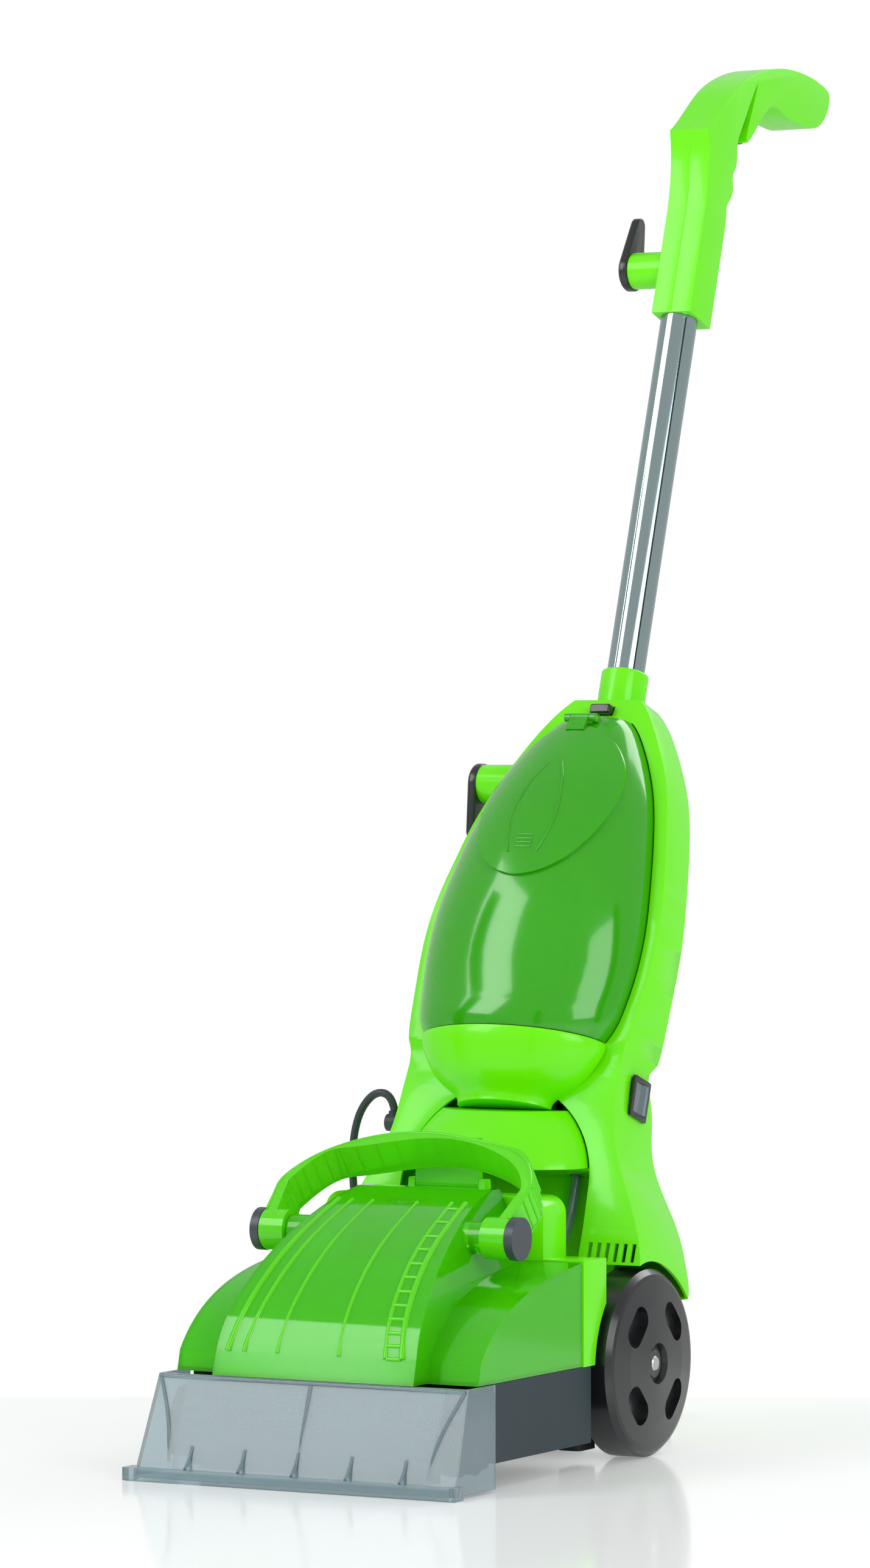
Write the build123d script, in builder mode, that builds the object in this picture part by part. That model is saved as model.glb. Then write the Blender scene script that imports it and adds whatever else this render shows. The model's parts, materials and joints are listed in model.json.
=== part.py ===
from build123d import *
import os
from math import atan2, cos, degrees, pi, radians, sin, tan

os.makedirs("parts", exist_ok=True)

# ---------------------------------------------------------------- driving dimensions, millimetres
LEAN = 18.5            # the column's backward lean from vertical when it is parked
AXLE_Y = -134.0        # wheel axle, from the middle of the object's length
AXLE_Z = 73.0
WHEEL_R = 73.0
WHEEL_IN = 110.0       # inner face of a wheel, from the centre plane
WHEEL_OUT = 141.0
AXLE_R = 6.0
RUN = 0.05             # radial clearance of a running fit
GAP = 0.4              # clearance between bodies that only sit together
WALL = 2.5             # moulded wall

BASE_HALF = 130.0      # half width of the base and of the recovery tank
BASE_FLOOR = 19.0      # underside of the base
DECK_Z = 78.0          # top edge of the base, where the recovery tank stands
BASE_FRONT = -242.0    # all base depths are measured from the axle
BASE_STEP = -84.0      # where the base narrows to pass between the wheels
BASE_REAR = 40.0
REAR_HALF = 104.0

NOZZLE_FRONT = -326.0
NOZZLE_HALF = 142.0
BRUSH_Y = -264.0
BRUSH_Z = 28.0
BRUSH_TIP = 24.0
BRUSH_CORE = 13.0
BRUSH_HALF = 112.0
TANK_BACK = -99.0
PIVOT_Y = -168.0       # pins of the recovery tank's carrying handle
PIVOT_Z = 180.0

TUBE_V = 48.0          # tube axis, behind the axle line, in the leaning column
TUBE_R = 15.5
SEAM_W = 245.0         # seam between the lower and upper housings, up the column
COLLAR_W = 556.0
SLEEVE_W = 903.0
CORD_R = 3.25

SIN, COS = sin(radians(LEAN)), cos(radians(LEAN))

# heights up the column: half width, front face, rear edge of the side, back
COLUMN = [
    (60, 139.5, -41, 46, 62),
    (83, 135.5, -41, 48, 66),
    (105, 127.5, -41, 48, 70),
    (130, 116, -42, 44, 72),
    (156, 104.5, -42, 33, 72),
    (183, 97.7, -42, 28, 72),
    (210, 95.2, -41, 24, 72),
    (SEAM_W, 97.5, -41, 19, 72),
    (280, 102, -36, 17, 72),
    (315, 104.5, -31, 16, 73),
    (352, 104, -26, 18, 74),
    (385, 99.5, -20, 23, 75),
    (415, 93.5, -14, 30, 76),
    (441, 87.5, -8, 36, 77),
    (475, 77, 2, 44, 78),
    (503, 64.5, 9, 50, 78),
    (528, 51, 15, 55, 77),
    (COLLAR_W, 30, 24, 57, 74),
]
# heights up the column: half width, front bulge, depth behind the column's front face
CLEAN_TANK = [
    (SEAM_W + 1, 79, 50, 40),
    (274, 89, 54, 40),
    (313, 93, 57, 40),
    (355, 91.5, 60, 40),
    (385, 87, 60, 38),
    (422, 80, 58, 36),
    (458, 70, 53, 32),
    (487, 58, 45, 26),
    (512, 45, 34, 20),
    (533, 29, 20, 14),
]


def column_at(w):
    """half width, front, rear edge and back of the column at height w, between the listed heights"""
    for low, high in zip(COLUMN, COLUMN[1:]):
        if low[0] <= w <= high[0]:
            share = (w - low[0]) / (high[0] - low[0])
            return [a + share * (b - a) for a, b in zip(low[1:], high[1:])]


def across(w):
    """plane across the leaning column at height w: x is sideways, y is towards the back"""
    return Plane((0, AXLE_Y + w * SIN, AXLE_Z + w * COS), x_dir=(1, 0, 0), z_dir=(0, SIN, COS))


def along(x):
    """plane along the column at x: its x is towards the back and its y is up the column"""
    return Plane((x, AXLE_Y, AXLE_Z), x_dir=(0, COS, -SIN), z_dir=(1, 0, 0))


def facing(v):
    """plane parallel to the column's front, at depth v, looking forward: x sideways, y up the column"""
    return Plane((0, AXLE_Y + v * COS, AXLE_Z - v * SIN), x_dir=(1, 0, 0), z_dir=(0, -COS, SIN))


def base_side(x):
    """vertical plane of the base at x: its x runs back from the axle and its y is the height"""
    return Plane((x, AXLE_Y, 0), x_dir=(0, 1, 0), z_dir=(1, 0, 0))


def base_level(z):
    """level plane of the base at height z: x sideways, y back from the axle"""
    return Plane((0, AXLE_Y, z), x_dir=(1, 0, 0), z_dir=(0, 0, 1))


def base_facing(y):
    """vertical plane across the base, looking forward: x sideways, y is the height"""
    return Plane((0, AXLE_Y + y, 0), x_dir=(1, 0, 0), z_dir=(0, -1, 0))


def column_slice(w, half, front, edge, back, inset=0):
    """flat front, straight sides and a bowed back, across the column at height w"""
    half, front, edge, back = half - inset, front + inset, edge - inset / 2, back - inset
    with BuildSketch(across(w)) as outline:
        with BuildLine():
            Polyline((-half, edge), (-half, front), (half, front), (half, edge))
            ThreePointArc((half, edge), (0, back), (-half, edge))
        make_face()
    return outline.sketch


def tank_slice(w, half, bulge, depth, grow=0):
    """bulged front and a squared rear part that nests in the housing"""
    front = column_at(w)[1]
    half, bulge, depth = half + grow, bulge + grow, depth + grow
    rear = half * 0.93
    with BuildSketch(across(w)) as outline:
        with BuildLine():
            EllipticalCenterArc((0, front), half, bulge, 180, arc_size=180)
            Polyline((half, front), (rear, front + depth), (-rear, front + depth), (-half, front))
        make_face()
    return outline.sketch


# ================================================================ base: chassis, covers and nozzle
with BuildPart() as base_chassis:
    with BuildSketch(base_level(BASE_FLOOR)):
        with BuildLine():
            Polyline((-BASE_HALF, BASE_FRONT), (BASE_HALF, BASE_FRONT), (BASE_HALF, BASE_STEP),
                     (REAR_HALF, BASE_STEP), (REAR_HALF, BASE_REAR), (-REAR_HALF, BASE_REAR),
                     (-REAR_HALF, BASE_STEP), (-BASE_HALF, BASE_STEP), close=True)
        make_face()
    extrude(amount=DECK_Z - BASE_FLOOR)
    with BuildSketch(base_level(BASE_FLOOR + 3)):
        with BuildLine():
            Polyline((-BASE_HALF + 3, BASE_FRONT + 3), (BASE_HALF - 3, BASE_FRONT + 3),
                     (BASE_HALF - 3, BASE_STEP - 3), (REAR_HALF - 4, BASE_STEP - 3),
                     (REAR_HALF - 4, BASE_REAR - 3), (-REAR_HALF + 4, BASE_REAR - 3),
                     (-REAR_HALF + 4, BASE_STEP - 3), (-BASE_HALF + 3, BASE_STEP - 3), close=True)
        make_face()
    extrude(amount=DECK_Z, mode=Mode.SUBTRACT)
    for hand in (-1, 1):
        # round axle tower on the side wall
        with BuildSketch(base_side(hand * (REAR_HALF - 2))):
            with Locations((0, AXLE_Z)):
                Circle(24)
        extrude(amount=2, both=True)
        # arm beside the brush
        with BuildSketch(base_side(hand * (BASE_HALF - 7))):
            with BuildLine():
                Polyline((BASE_FRONT + 1, 20), (BASE_FRONT + 1, 70), (-272, 66), (-284, 50),
                         (-284, 16), (-262, 12), close=True)
            make_face()
        extrude(amount=2, both=True)
    # the front wall bends round the brush as a hood
    with BuildSketch(base_side(0)):
        with Locations((BRUSH_Y, BRUSH_Z)):
            Circle(BRUSH_TIP + 4)
        with Locations((BRUSH_Y, 0)):
            Rectangle(80, 30, mode=Mode.SUBTRACT)
        with Locations((BRUSH_Y - 36, BRUSH_Z)):
            Rectangle(44, 80, mode=Mode.SUBTRACT)
    extrude(amount=BASE_HALF - 8, both=True)
    with BuildSketch(base_side(0)):
        with Locations((BRUSH_Y, BRUSH_Z)):
            Circle(BRUSH_TIP + 1.5)
    extrude(amount=BASE_HALF - 9, both=True, mode=Mode.SUBTRACT)
    # notches in the rear wall that the column's cheeks drop into at full recline
    with BuildSketch(base_facing(BASE_REAR - 4)):
        with Locations((-66, DECK_Z), (66, DECK_Z)):
            Rectangle(13, 24)
    extrude(amount=-6, mode=Mode.SUBTRACT)
    # bores for the wheel axle and the brush spindle
    with BuildSketch(base_side(0)):
        with Locations((0, AXLE_Z)):
            Circle(AXLE_R)
        with Locations((BRUSH_Y, BRUSH_Z)):
            Circle(5 + RUN)
    extrude(amount=BASE_HALF + 5, both=True, mode=Mode.SUBTRACT)
    # passage of the brush belt through the front wall
    with BuildSketch(base_facing(BRUSH_Y)):
        with Locations((BRUSH_HALF - 3, 38)):
            Rectangle(14, 56)
    extrude(amount=-40, mode=Mode.SUBTRACT)
base_chassis.part.label = "base_chassis"
export_step(base_chassis.part, "parts/base_chassis.step")

with BuildPart() as wheel_axle:
    with BuildSketch(base_side(0)):
        with Locations((0, AXLE_Z)):
            Circle(AXLE_R)
    extrude(amount=WHEEL_OUT + 3, both=True)
    chamfer(wheel_axle.edges().filter_by(GeomType.CIRCLE), 1)
wheel_axle.part.label = "wheel_axle"
export_step(wheel_axle.part, "parts/wheel_axle.step")

COVER_TOP = 159.0
COVER_BACK = -60.0
COLUMN_TOP = 206.0
with BuildPart() as base_cover:
    with BuildSketch(base_level(DECK_Z)):
        with Locations((0, (TANK_BACK + 1 + COVER_BACK) / 2)):
            Rectangle(2 * BASE_HALF + 2, COVER_BACK - TANK_BACK - 1)
    extrude(amount=COVER_TOP - DECK_Z)
    with BuildSketch(base_level(COVER_TOP)):
        with Locations((0, (TANK_BACK + 1 + COVER_BACK) / 2)):
            Rectangle(192, COVER_BACK - TANK_BACK - 1)
    extrude(amount=COLUMN_TOP - COVER_TOP)
    fillet(base_cover.edges().filter_by(Axis.Y).group_by(Axis.Z)[-1], 14)
    # the outer rear corners are cut to clear the wheels
    with BuildSketch(base_side(0)):
        with Locations((0, AXLE_Z)):
            Circle(WHEEL_R + 6)
    extrude(amount=BASE_HALF + 5, both=True, mode=Mode.SUBTRACT)
    # hollow, open underneath
    with BuildSketch(base_level(DECK_Z)):
        with Locations((0, (TANK_BACK + 1 + COVER_BACK) / 2)):
            Rectangle(2 * BASE_HALF - 3, COVER_BACK - TANK_BACK - 6)
    extrude(amount=COVER_TOP - DECK_Z - WALL, mode=Mode.SUBTRACT)
    with BuildSketch(base_level(COVER_TOP - 5)):
        with Locations((0, (TANK_BACK + 1 + COVER_BACK) / 2)):
            Rectangle(160, COVER_BACK - TANK_BACK - 6)
    extrude(amount=COLUMN_TOP - COVER_TOP - 2, mode=Mode.SUBTRACT)
    # air passages: from the recovery tank in front, to the suction hose behind
    with BuildSketch(base_facing(TANK_BACK)):
        with Locations((0, 185)):
            RectangleRounded(50, 22, 6)
    extrude(amount=-8, mode=Mode.SUBTRACT)
    with BuildSketch(base_facing(COVER_BACK - 8)):
        with Locations((0, 138)):
            Circle(19)
        with Locations((62, 118)):
            Circle(4.2)
    extrude(amount=-12, mode=Mode.SUBTRACT)
base_cover.part.label = "base_cover"
export_step(base_cover.part, "parts/base_cover.step")

# clear suction nozzle: a flared hood with a lip, open below and above
with BuildPart() as nozzle_shell:
    with BuildSketch(base_level(2)):
        with Locations((0, (NOZZLE_FRONT + 10 - 254) / 2)):
            Rectangle(2 * NOZZLE_HALF - 8, -254 - NOZZLE_FRONT - 10)
    with BuildSketch(base_level(DECK_Z)):
        with Locations((0, (-287 + BASE_FRONT - 3) / 2)):
            Rectangle(2 * BASE_HALF + 6, BASE_FRONT - 3 + 287)
    loft()
    with BuildSketch(base_level(2)):
        with Locations((0, (NOZZLE_FRONT + 10 + 2.5 - 200) / 2)):
            Rectangle(2 * NOZZLE_HALF - 13, -200 - NOZZLE_FRONT - 12.5)
    with BuildSketch(base_level(DECK_Z)):
        with Locations((0, (-284.5 - 200) / 2)):
            Rectangle(2 * BASE_HALF + 1, 84.5)
    loft(mode=Mode.SUBTRACT)
    # foot lip
    with BuildSketch(base_level(0)):
        with Locations((0, NOZZLE_FRONT + 7.5)):
            Rectangle(2 * NOZZLE_HALF, 15)
        with Locations((0, NOZZLE_FRONT + 12.5)):
            Rectangle(2 * NOZZLE_HALF - 14, 9, mode=Mode.SUBTRACT)
    extrude(amount=10)
nozzle_shell.part.label = "nozzle_shell"
export_step(nozzle_shell.part, "parts/nozzle_shell.step")

# inner wall that makes the narrow suction slot behind the nozzle's front
with BuildPart() as suction_channel:
    with BuildSketch(base_side(0)):
        with BuildLine():
            Polyline((-280.5, DECK_Z - 1), (-278, DECK_Z - 1), (-292, 44), (-304, 8),
                     (-306.5, 8), (-294.5, 44), close=True)
        make_face()
    extrude(amount=BRUSH_HALF - 2, both=True)
suction_channel.part.label = "suction_channel"
export_step(suction_channel.part, "parts/suction_channel.step")

# ================================================================ brush and its drive
with BuildPart() as brush_core:
    with BuildSketch(base_side(-BRUSH_HALF)):
        with Locations((BRUSH_Y, BRUSH_Z)):
            Circle(BRUSH_CORE)
    extrude(amount=2 * BRUSH_HALF - 12)
    with BuildSketch(base_side(0)):
        with Locations((BRUSH_Y, BRUSH_Z)):
            Circle(5)
    extrude(amount=BASE_HALF - 5.5, both=True)
brush_core.part.label = "brush_core"
export_step(brush_core.part, "parts/brush_core.step")

with BuildPart() as brush_bristles:
    with BuildSketch(base_side(-BRUSH_HALF + 4)):
        with Locations((BRUSH_Y, BRUSH_Z)):
            with PolarLocations(0, 8):
                with Locations((BRUSH_TIP - 6, 0)):
                    Rectangle(12, 5)
            Circle(BRUSH_CORE, mode=Mode.SUBTRACT)
    extrude(amount=2 * BRUSH_HALF - 20)
brush_bristles.part.label = "brush_bristles"
export_step(brush_bristles.part, "parts/brush_bristles.step")

BELT_X = BRUSH_HALF - 3
MOTOR_Y = -190.0
MOTOR_Z = 50.0
PULLEY_R = 9.0
with BuildPart() as brush_pulley:
    with BuildSketch(base_side(BELT_X - 5)):
        with Locations((BRUSH_Y, BRUSH_Z)):
            Circle(16)
            Circle(5, mode=Mode.SUBTRACT)
    extrude(amount=10)
brush_pulley.part.label = "brush_pulley"
export_step(brush_pulley.part, "parts/brush_pulley.step")

with BuildPart() as brush_motor:
    with BuildSketch(base_side(BELT_X - 80)):
        with Locations((MOTOR_Y, MOTOR_Z)):
            Circle(25)
    extrude(amount=68)
    fillet(brush_motor.edges().filter_by(GeomType.CIRCLE), 3)
    with BuildSketch(base_side(BELT_X - 12)):
        with Locations((MOTOR_Y, MOTOR_Z)):
            Circle(8)
    extrude(amount=3)
    # mounting cradle on the floor
    with BuildSketch(base_facing(MOTOR_Y)):
        with Locations((BELT_X - 46, BASE_FLOOR + 3 + 2)):
            Rectangle(50, 4)
    extrude(amount=24, both=True)
    # blind bore for the motor's own shaft
    with BuildSketch(base_side(BELT_X - 9)):
        with Locations((MOTOR_Y, MOTOR_Z)):
            Circle(2.5 + RUN)
    extrude(amount=-20, mode=Mode.SUBTRACT)
brush_motor.part.label = "brush_motor"
export_step(brush_motor.part, "parts/brush_motor.step")

with BuildPart() as motor_pulley:
    with BuildSketch(base_side(BELT_X - 5)):
        with Locations((MOTOR_Y, MOTOR_Z)):
            Circle(PULLEY_R)
    extrude(amount=10)
    with BuildSketch(base_side(BELT_X - 5)):
        with Locations((MOTOR_Y, MOTOR_Z)):
            Circle(2.5)
    extrude(amount=-20)
motor_pulley.part.label = "motor_pulley"
export_step(motor_pulley.part, "parts/motor_pulley.step")

# flat belt: two wraps joined by the outer tangents
belt_run = ((MOTOR_Y - BRUSH_Y) ** 2 + (MOTOR_Z - BRUSH_Z) ** 2) ** 0.5
belt_slope = degrees(atan2(MOTOR_Z - BRUSH_Z, MOTOR_Y - BRUSH_Y))


def belt_loop(grow):
    """outline round both pulleys at a distance from their rims"""
    big, small = 16 + grow, PULLEY_R + grow
    lean = degrees(atan2(big - small, (belt_run**2 - (big - small) ** 2) ** 0.5))
    brush, motor = Vector(BRUSH_Y, BRUSH_Z), Vector(MOTOR_Y, MOTOR_Z)
    up = Vector(1, 0).rotate(Axis.Z, belt_slope + 90 - lean)
    down = Vector(1, 0).rotate(Axis.Z, belt_slope - 90 + lean)
    back = Vector(1, 0).rotate(Axis.Z, belt_slope)
    with BuildSketch(base_side(BELT_X - 3.5)) as loop:
        with BuildLine():
            Line(brush + up * big, motor + up * small)
            ThreePointArc(motor + up * small, motor + back * small, motor + down * small)
            Line(motor + down * small, brush + down * big)
            ThreePointArc(brush + down * big, brush - back * big, brush + up * big)
        make_face()
    return loop.sketch


with BuildPart() as drive_belt:
    extrude(belt_loop(1.9), amount=7)
    extrude(belt_loop(0.3), amount=7, mode=Mode.SUBTRACT)
drive_belt.part.label = "drive_belt"
export_step(drive_belt.part, "parts/drive_belt.step")

# ================================================================ solution pump, spray bar and hoses
with BuildPart() as solution_pump:
    with BuildSketch(base_level(BASE_FLOOR + 3)):
        with Locations((-60, -185)):
            RectangleRounded(46, 62, 6)
    extrude(amount=38)
    with BuildSketch(base_facing(-216)):
        with Locations((-60, 42)):
            Circle(4)
    extrude(amount=12)
solution_pump.part.label = "solution_pump"
export_step(solution_pump.part, "parts/solution_pump.step")

with BuildPart() as spray_bar:
    with BuildSketch(base_side(-90)):
        with Locations((-280, 62)):
            Circle(3)
    extrude(amount=180)
    for x in (-75, -25, 25, 75):
        with BuildSketch(base_level(62)):
            with Locations((x, -280)):
                Circle(2.2)
        extrude(amount=-9)
spray_bar.part.label = "spray_bar"
export_step(spray_bar.part, "parts/spray_bar.step")

with BuildPart() as pump_hose:
    with BuildSketch(base_facing(-228)):
        with Locations((-60, 42)):
            Circle(3.5)
    extrude(amount=8)
pump_hose.part.label = "pump_hose"
export_step(pump_hose.part, "parts/pump_hose.step")

with BuildPart() as skid_pads:
    for hand in (-1, 1):
        with BuildSketch(base_level(7)):
            with Locations((hand * 92, -34)):
                RectangleRounded(20, 30, 5)
        extrude(amount=BASE_FLOOR - 7)
skid_pads.part.label = "skid_pads"
export_step(skid_pads.part, "parts/skid_pads.step")

with BuildPart() as base_screws:
    for x, y in ((-118, -150), (118, -150), (-60, -30), (60, -30), (-60, -225), (60, -225)):
        with BuildSketch(base_level(BASE_FLOOR - 1.5)):
            with Locations((x, y)):
                Circle(4)
                RegularPolygon(1.6, 6, mode=Mode.SUBTRACT)
        extrude(amount=1.5)
base_screws.part.label = "base_screws"
export_step(base_screws.part, "parts/base_screws.step")

# ================================================================ wheels
for name, hand in (("wheel_left", -1), ("wheel_right", 1)):
    with BuildPart() as wheel:
        with BuildSketch(Plane((0, AXLE_Y, AXLE_Z), x_dir=(hand, 0, 0), z_dir=(0, -hand, 0))):
            with BuildLine():
                Polyline((WHEEL_IN, AXLE_R + RUN), (WHEEL_IN, 18), (WHEEL_IN + 14, 18),
                         (WHEEL_IN + 14, WHEEL_R - 8), (WHEEL_IN, WHEEL_R - 8),
                         (WHEEL_IN, WHEEL_R - 2), (WHEEL_IN + 2, WHEEL_R), (WHEEL_OUT - 5, WHEEL_R),
                         (WHEEL_OUT - 1, WHEEL_R - 4), (WHEEL_OUT, WHEEL_R - 7),
                         (WHEEL_OUT + 3, 45), (WHEEL_OUT + 5, 16), (WHEEL_OUT, 14),
                         (WHEEL_OUT, AXLE_R + RUN), close=True)
            make_face()
        revolve(axis=Axis((0, AXLE_Y, AXLE_Z), (1, 0, 0)))
        # four pockets between the arms of the face
        with BuildSketch(base_side(hand * (WHEEL_OUT - 4))):
            with Locations((0, AXLE_Z)):
                with PolarLocations(43, 4, start_angle=45):
                    SlotOverall(36, 20, rotation=90)
        extrude(amount=hand * 12, mode=Mode.SUBTRACT)
    wheel.part.label = name
    export_step(wheel.part, f"parts/{name}.step")

with BuildPart() as axle_clips:
    for hand in (-1, 1):
        with BuildSketch(base_side(hand * (WHEEL_OUT + 0.3))):
            with Locations((0, AXLE_Z)):
                Circle(11)
                Circle(AXLE_R, mode=Mode.SUBTRACT)
        extrude(amount=hand * 1.5)
axle_clips.part.label = "axle_clips"
export_step(axle_clips.part, "parts/axle_clips.step")

# ================================================================ leaning column: housings
LOW = [row for row in COLUMN if row[0] <= SEAM_W]
HIGH = [row for row in COLUMN if row[0] >= SEAM_W]
WHEEL_CUT = 79.0       # radius of the wheel arches, about the axle
ARCH_HALF = 84.0       # arched opening in the front of the lower housing
ARCH_W = 128.0
SWITCH_V = -4.0
SWITCH_W = 211.0
GLAND_V = -25.0
GLAND_W = 180.0


def bulge_slice(w, half, bulge, grow=0):
    """half an ellipse standing on the column's front face"""
    front = column_at(w)[1]
    with BuildSketch(across(w)) as outline:
        with BuildLine():
            EllipticalCenterArc((0, front), half + grow, bulge + grow, 180, arc_size=180)
            Line((half + grow, front), (-half - grow, front))
        make_face()
    return outline.sketch


def dome_slice(z, grow=0):
    """level half ellipse of the motor cover, as wide as the arched opening at height z"""
    w = (z - AXLE_Z + column_at(150)[1] * SIN) / COS
    half = (ARCH_HALF**2 - (w - ARCH_W) ** 2) ** 0.5 - 2.5 + grow
    chord = -38 * COS + w * SIN
    with BuildSketch(base_level(z)) as outline:
        with BuildLine():
            EllipticalCenterArc((0, chord), half, half * 0.64, 180, arc_size=180)
            Line((half, chord), (-half, chord))
        make_face()
    return outline.sketch


with BuildPart() as lower_housing:
    loft([column_slice(*row) for row in LOW])
    loft([column_slice(*row, inset=WALL) for row in LOW], mode=Mode.SUBTRACT)
    # arched opening in the front, closed above by the motor cover
    with BuildSketch(facing(-52)):
        with BuildLine():
            Polyline((-ARCH_HALF, ARCH_W), (-ARCH_HALF, 58), (ARCH_HALF, 58), (ARCH_HALF, ARCH_W))
            ThreePointArc((ARCH_HALF, ARCH_W), (0, ARCH_W + ARCH_HALF), (-ARCH_HALF, ARCH_W))
        make_face()
    extrude(amount=-30, mode=Mode.SUBTRACT)
    # floor between the legs, wall behind the opening, shelf under the motor and shelf under the tank
    with BuildSketch(across(60)):
        with Locations((0, 23)):
            Rectangle(206, 74)
    extrude(amount=3)
    with BuildSketch(facing(-14)):
        with Locations((0, 102)):
            Rectangle(2 * REAR_HALF - 4, 84)
        with Locations((0, 84)):
            Circle(15, mode=Mode.SUBTRACT)
    extrude(amount=-2.5)
    with BuildSketch(across(142)):
        with Locations((0, 10)):
            Rectangle(2 * ARCH_HALF + 10, 98)
        with Locations((0, -22)):
            Circle(22, mode=Mode.SUBTRACT)
    extrude(amount=2.5)
    # floor under the clean tank, with the valve's spigot hole and the cable's hole
    extrude(column_slice(241.5, *column_at(241.5), inset=WALL - 0.3), amount=3)
    with BuildSketch(across(240)):
        with Locations((20, -30)):
            Circle(5)
        with Locations((0, TUBE_V)):
            Circle(4)
    extrude(amount=6, mode=Mode.SUBTRACT)
    with BuildSketch(across(140)):
        with Locations((62, -22)):
            Circle(6)
    extrude(amount=6, mode=Mode.SUBTRACT)
    for x in (-66, 66):
        with BuildSketch(along(x)):
            Circle(15)
            with BuildLine():
                Polyline((-13, 62), (-14, 0), (14, 0), (22, 62), close=True)
            make_face()
        extrude(amount=5, both=True)
    for hand in (-1, 1):
        with BuildSketch(along(hand * 106)):
            Circle(WHEEL_CUT)
        extrude(amount=hand * 60, mode=Mode.SUBTRACT)
        # louvres low on the front of each leg
        with BuildSketch(facing(-60)):
            with Locations((hand * 112, 77)):
                with GridLocations(7.6, 1, 6, 1):
                    Rectangle(3.6, 15)
        extrude(amount=-30, mode=Mode.SUBTRACT)
    with BuildSketch(along(0)):
        Circle(AXLE_R + RUN)
    extrude(amount=90, both=True, mode=Mode.SUBTRACT)
    # windows for the rocker switch on the right and the cord on the left
    with BuildSketch(along(85)):
        with Locations((SWITCH_V, SWITCH_W)):
            Rectangle(25, 29)
    extrude(amount=30, mode=Mode.SUBTRACT)
    with BuildSketch(along(-85)):
        with Locations((GLAND_V, GLAND_W)):
            Circle(6)
    extrude(amount=-30, mode=Mode.SUBTRACT)
lower_housing.part.label = "lower_housing"
export_step(lower_housing.part, "parts/lower_housing.step")

with BuildPart() as cradle:
    loft([tank_slice(*row, grow=3.5) for row in CLEAN_TANK])
    loft([column_slice(*row, inset=WALL / 2) for row in HIGH], mode=Mode.INTERSECT)

with BuildPart() as upper_housing:
    loft([column_slice(*row) for row in HIGH])
    loft([column_slice(*row, inset=WALL) for row in HIGH], mode=Mode.SUBTRACT)
    # closed top round the tube collar
    extrude(column_slice(*HIGH[-1]), amount=-3)
    with BuildSketch(across(COLLAR_W - 5)):
        with Locations((0, TUBE_V)):
            Circle(19.7)
    extrude(amount=10, mode=Mode.SUBTRACT)
    # cradle wall round the rear of the clean tank
    add(cradle.part)
    loft([tank_slice(*row, grow=1) for row in CLEAN_TANK], mode=Mode.SUBTRACT)
    # socket of the handle tube
    with BuildSketch(across(430)):
        with Locations((0, TUBE_V)):
            Circle(TUBE_R)
    extrude(amount=COLLAR_W - 430, mode=Mode.SUBTRACT)
    # boss of the lower cord hook
    with BuildSketch(along(-72)):
        with Locations((26, 484)):
            Circle(16)
    extrude(amount=-31)
    # window of the latch button
    with BuildSketch(facing(-5)):
        with Locations((0, 545)):
            Rectangle(18.8, 8.8)
    extrude(amount=-40, mode=Mode.SUBTRACT)
upper_housing.part.label = "upper_housing"
export_step(upper_housing.part, "parts/upper_housing.step")

BOWL = [(SEAM_W, 80, 51), (232, 77.5, 49.5), (218, 69, 45), (206, 57, 38), (197, 44, 30), (190, 41, 28)]
with BuildPart() as tank_bowl:
    loft([bulge_slice(*row) for row in BOWL])
    loft([bulge_slice(w + 3, half - WALL, bulge - WALL) for w, half, bulge in BOWL[:0:-1]]
         + [bulge_slice(SEAM_W, 80 - WALL, 51 - WALL)], mode=Mode.SUBTRACT)
tank_bowl.part.label = "tank_bowl"
export_step(tank_bowl.part, "parts/tank_bowl.step")

DOME = (222, 235, 247, 258, 266)
with BuildPart() as motor_cover:
    loft([dome_slice(z) for z in DOME])
    loft([dome_slice(z - 2.5, grow=-WALL) for z in DOME], mode=Mode.SUBTRACT)
    loft([bulge_slice(*row, grow=0.3) for row in BOWL], mode=Mode.SUBTRACT)
motor_cover.part.label = "motor_cover"
export_step(motor_cover.part, "parts/motor_cover.step")

# ================================================================ suction motor and its impeller
MOTOR_V = -30.0
with BuildPart() as suction_motor:
    with BuildSketch(across(146)):
        with Locations((0, MOTOR_V)):
            Circle(36)
    extrude(amount=22)
    with BuildSketch(across(168)):
        with Locations((0, MOTOR_V)):
            Circle(26)
    extrude(amount=10)
    # fan chamber, its inlet below, and the shaft bore
    with BuildSketch(across(149)):
        with Locations((0, MOTOR_V)):
            Circle(33.5)
    extrude(amount=16, mode=Mode.SUBTRACT)
    with BuildSketch(across(145)):
        with Locations((0, MOTOR_V)):
            Circle(14)
    extrude(amount=6, mode=Mode.SUBTRACT)
    with BuildSketch(across(164)):
        with Locations((0, MOTOR_V)):
            Circle(4 + RUN)
    extrude(amount=12, mode=Mode.SUBTRACT)
suction_motor.part.label = "suction_motor"
export_step(suction_motor.part, "parts/suction_motor.step")

with BuildPart() as impeller:
    with BuildSketch(across(151)):
        with Locations((0, MOTOR_V)):
            Circle(32)
    extrude(amount=2)
    with BuildSketch(across(153)):
        with Locations((0, MOTOR_V)):
            with PolarLocations(20, 8):
                Rectangle(20, 1.6, rotation=35)
            Circle(9)
    extrude(amount=7)
    with BuildSketch(across(160)):
        with Locations((0, MOTOR_V)):
            Circle(4)
    extrude(amount=15.5)
impeller.part.label = "impeller"
export_step(impeller.part, "parts/impeller.step")

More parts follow.
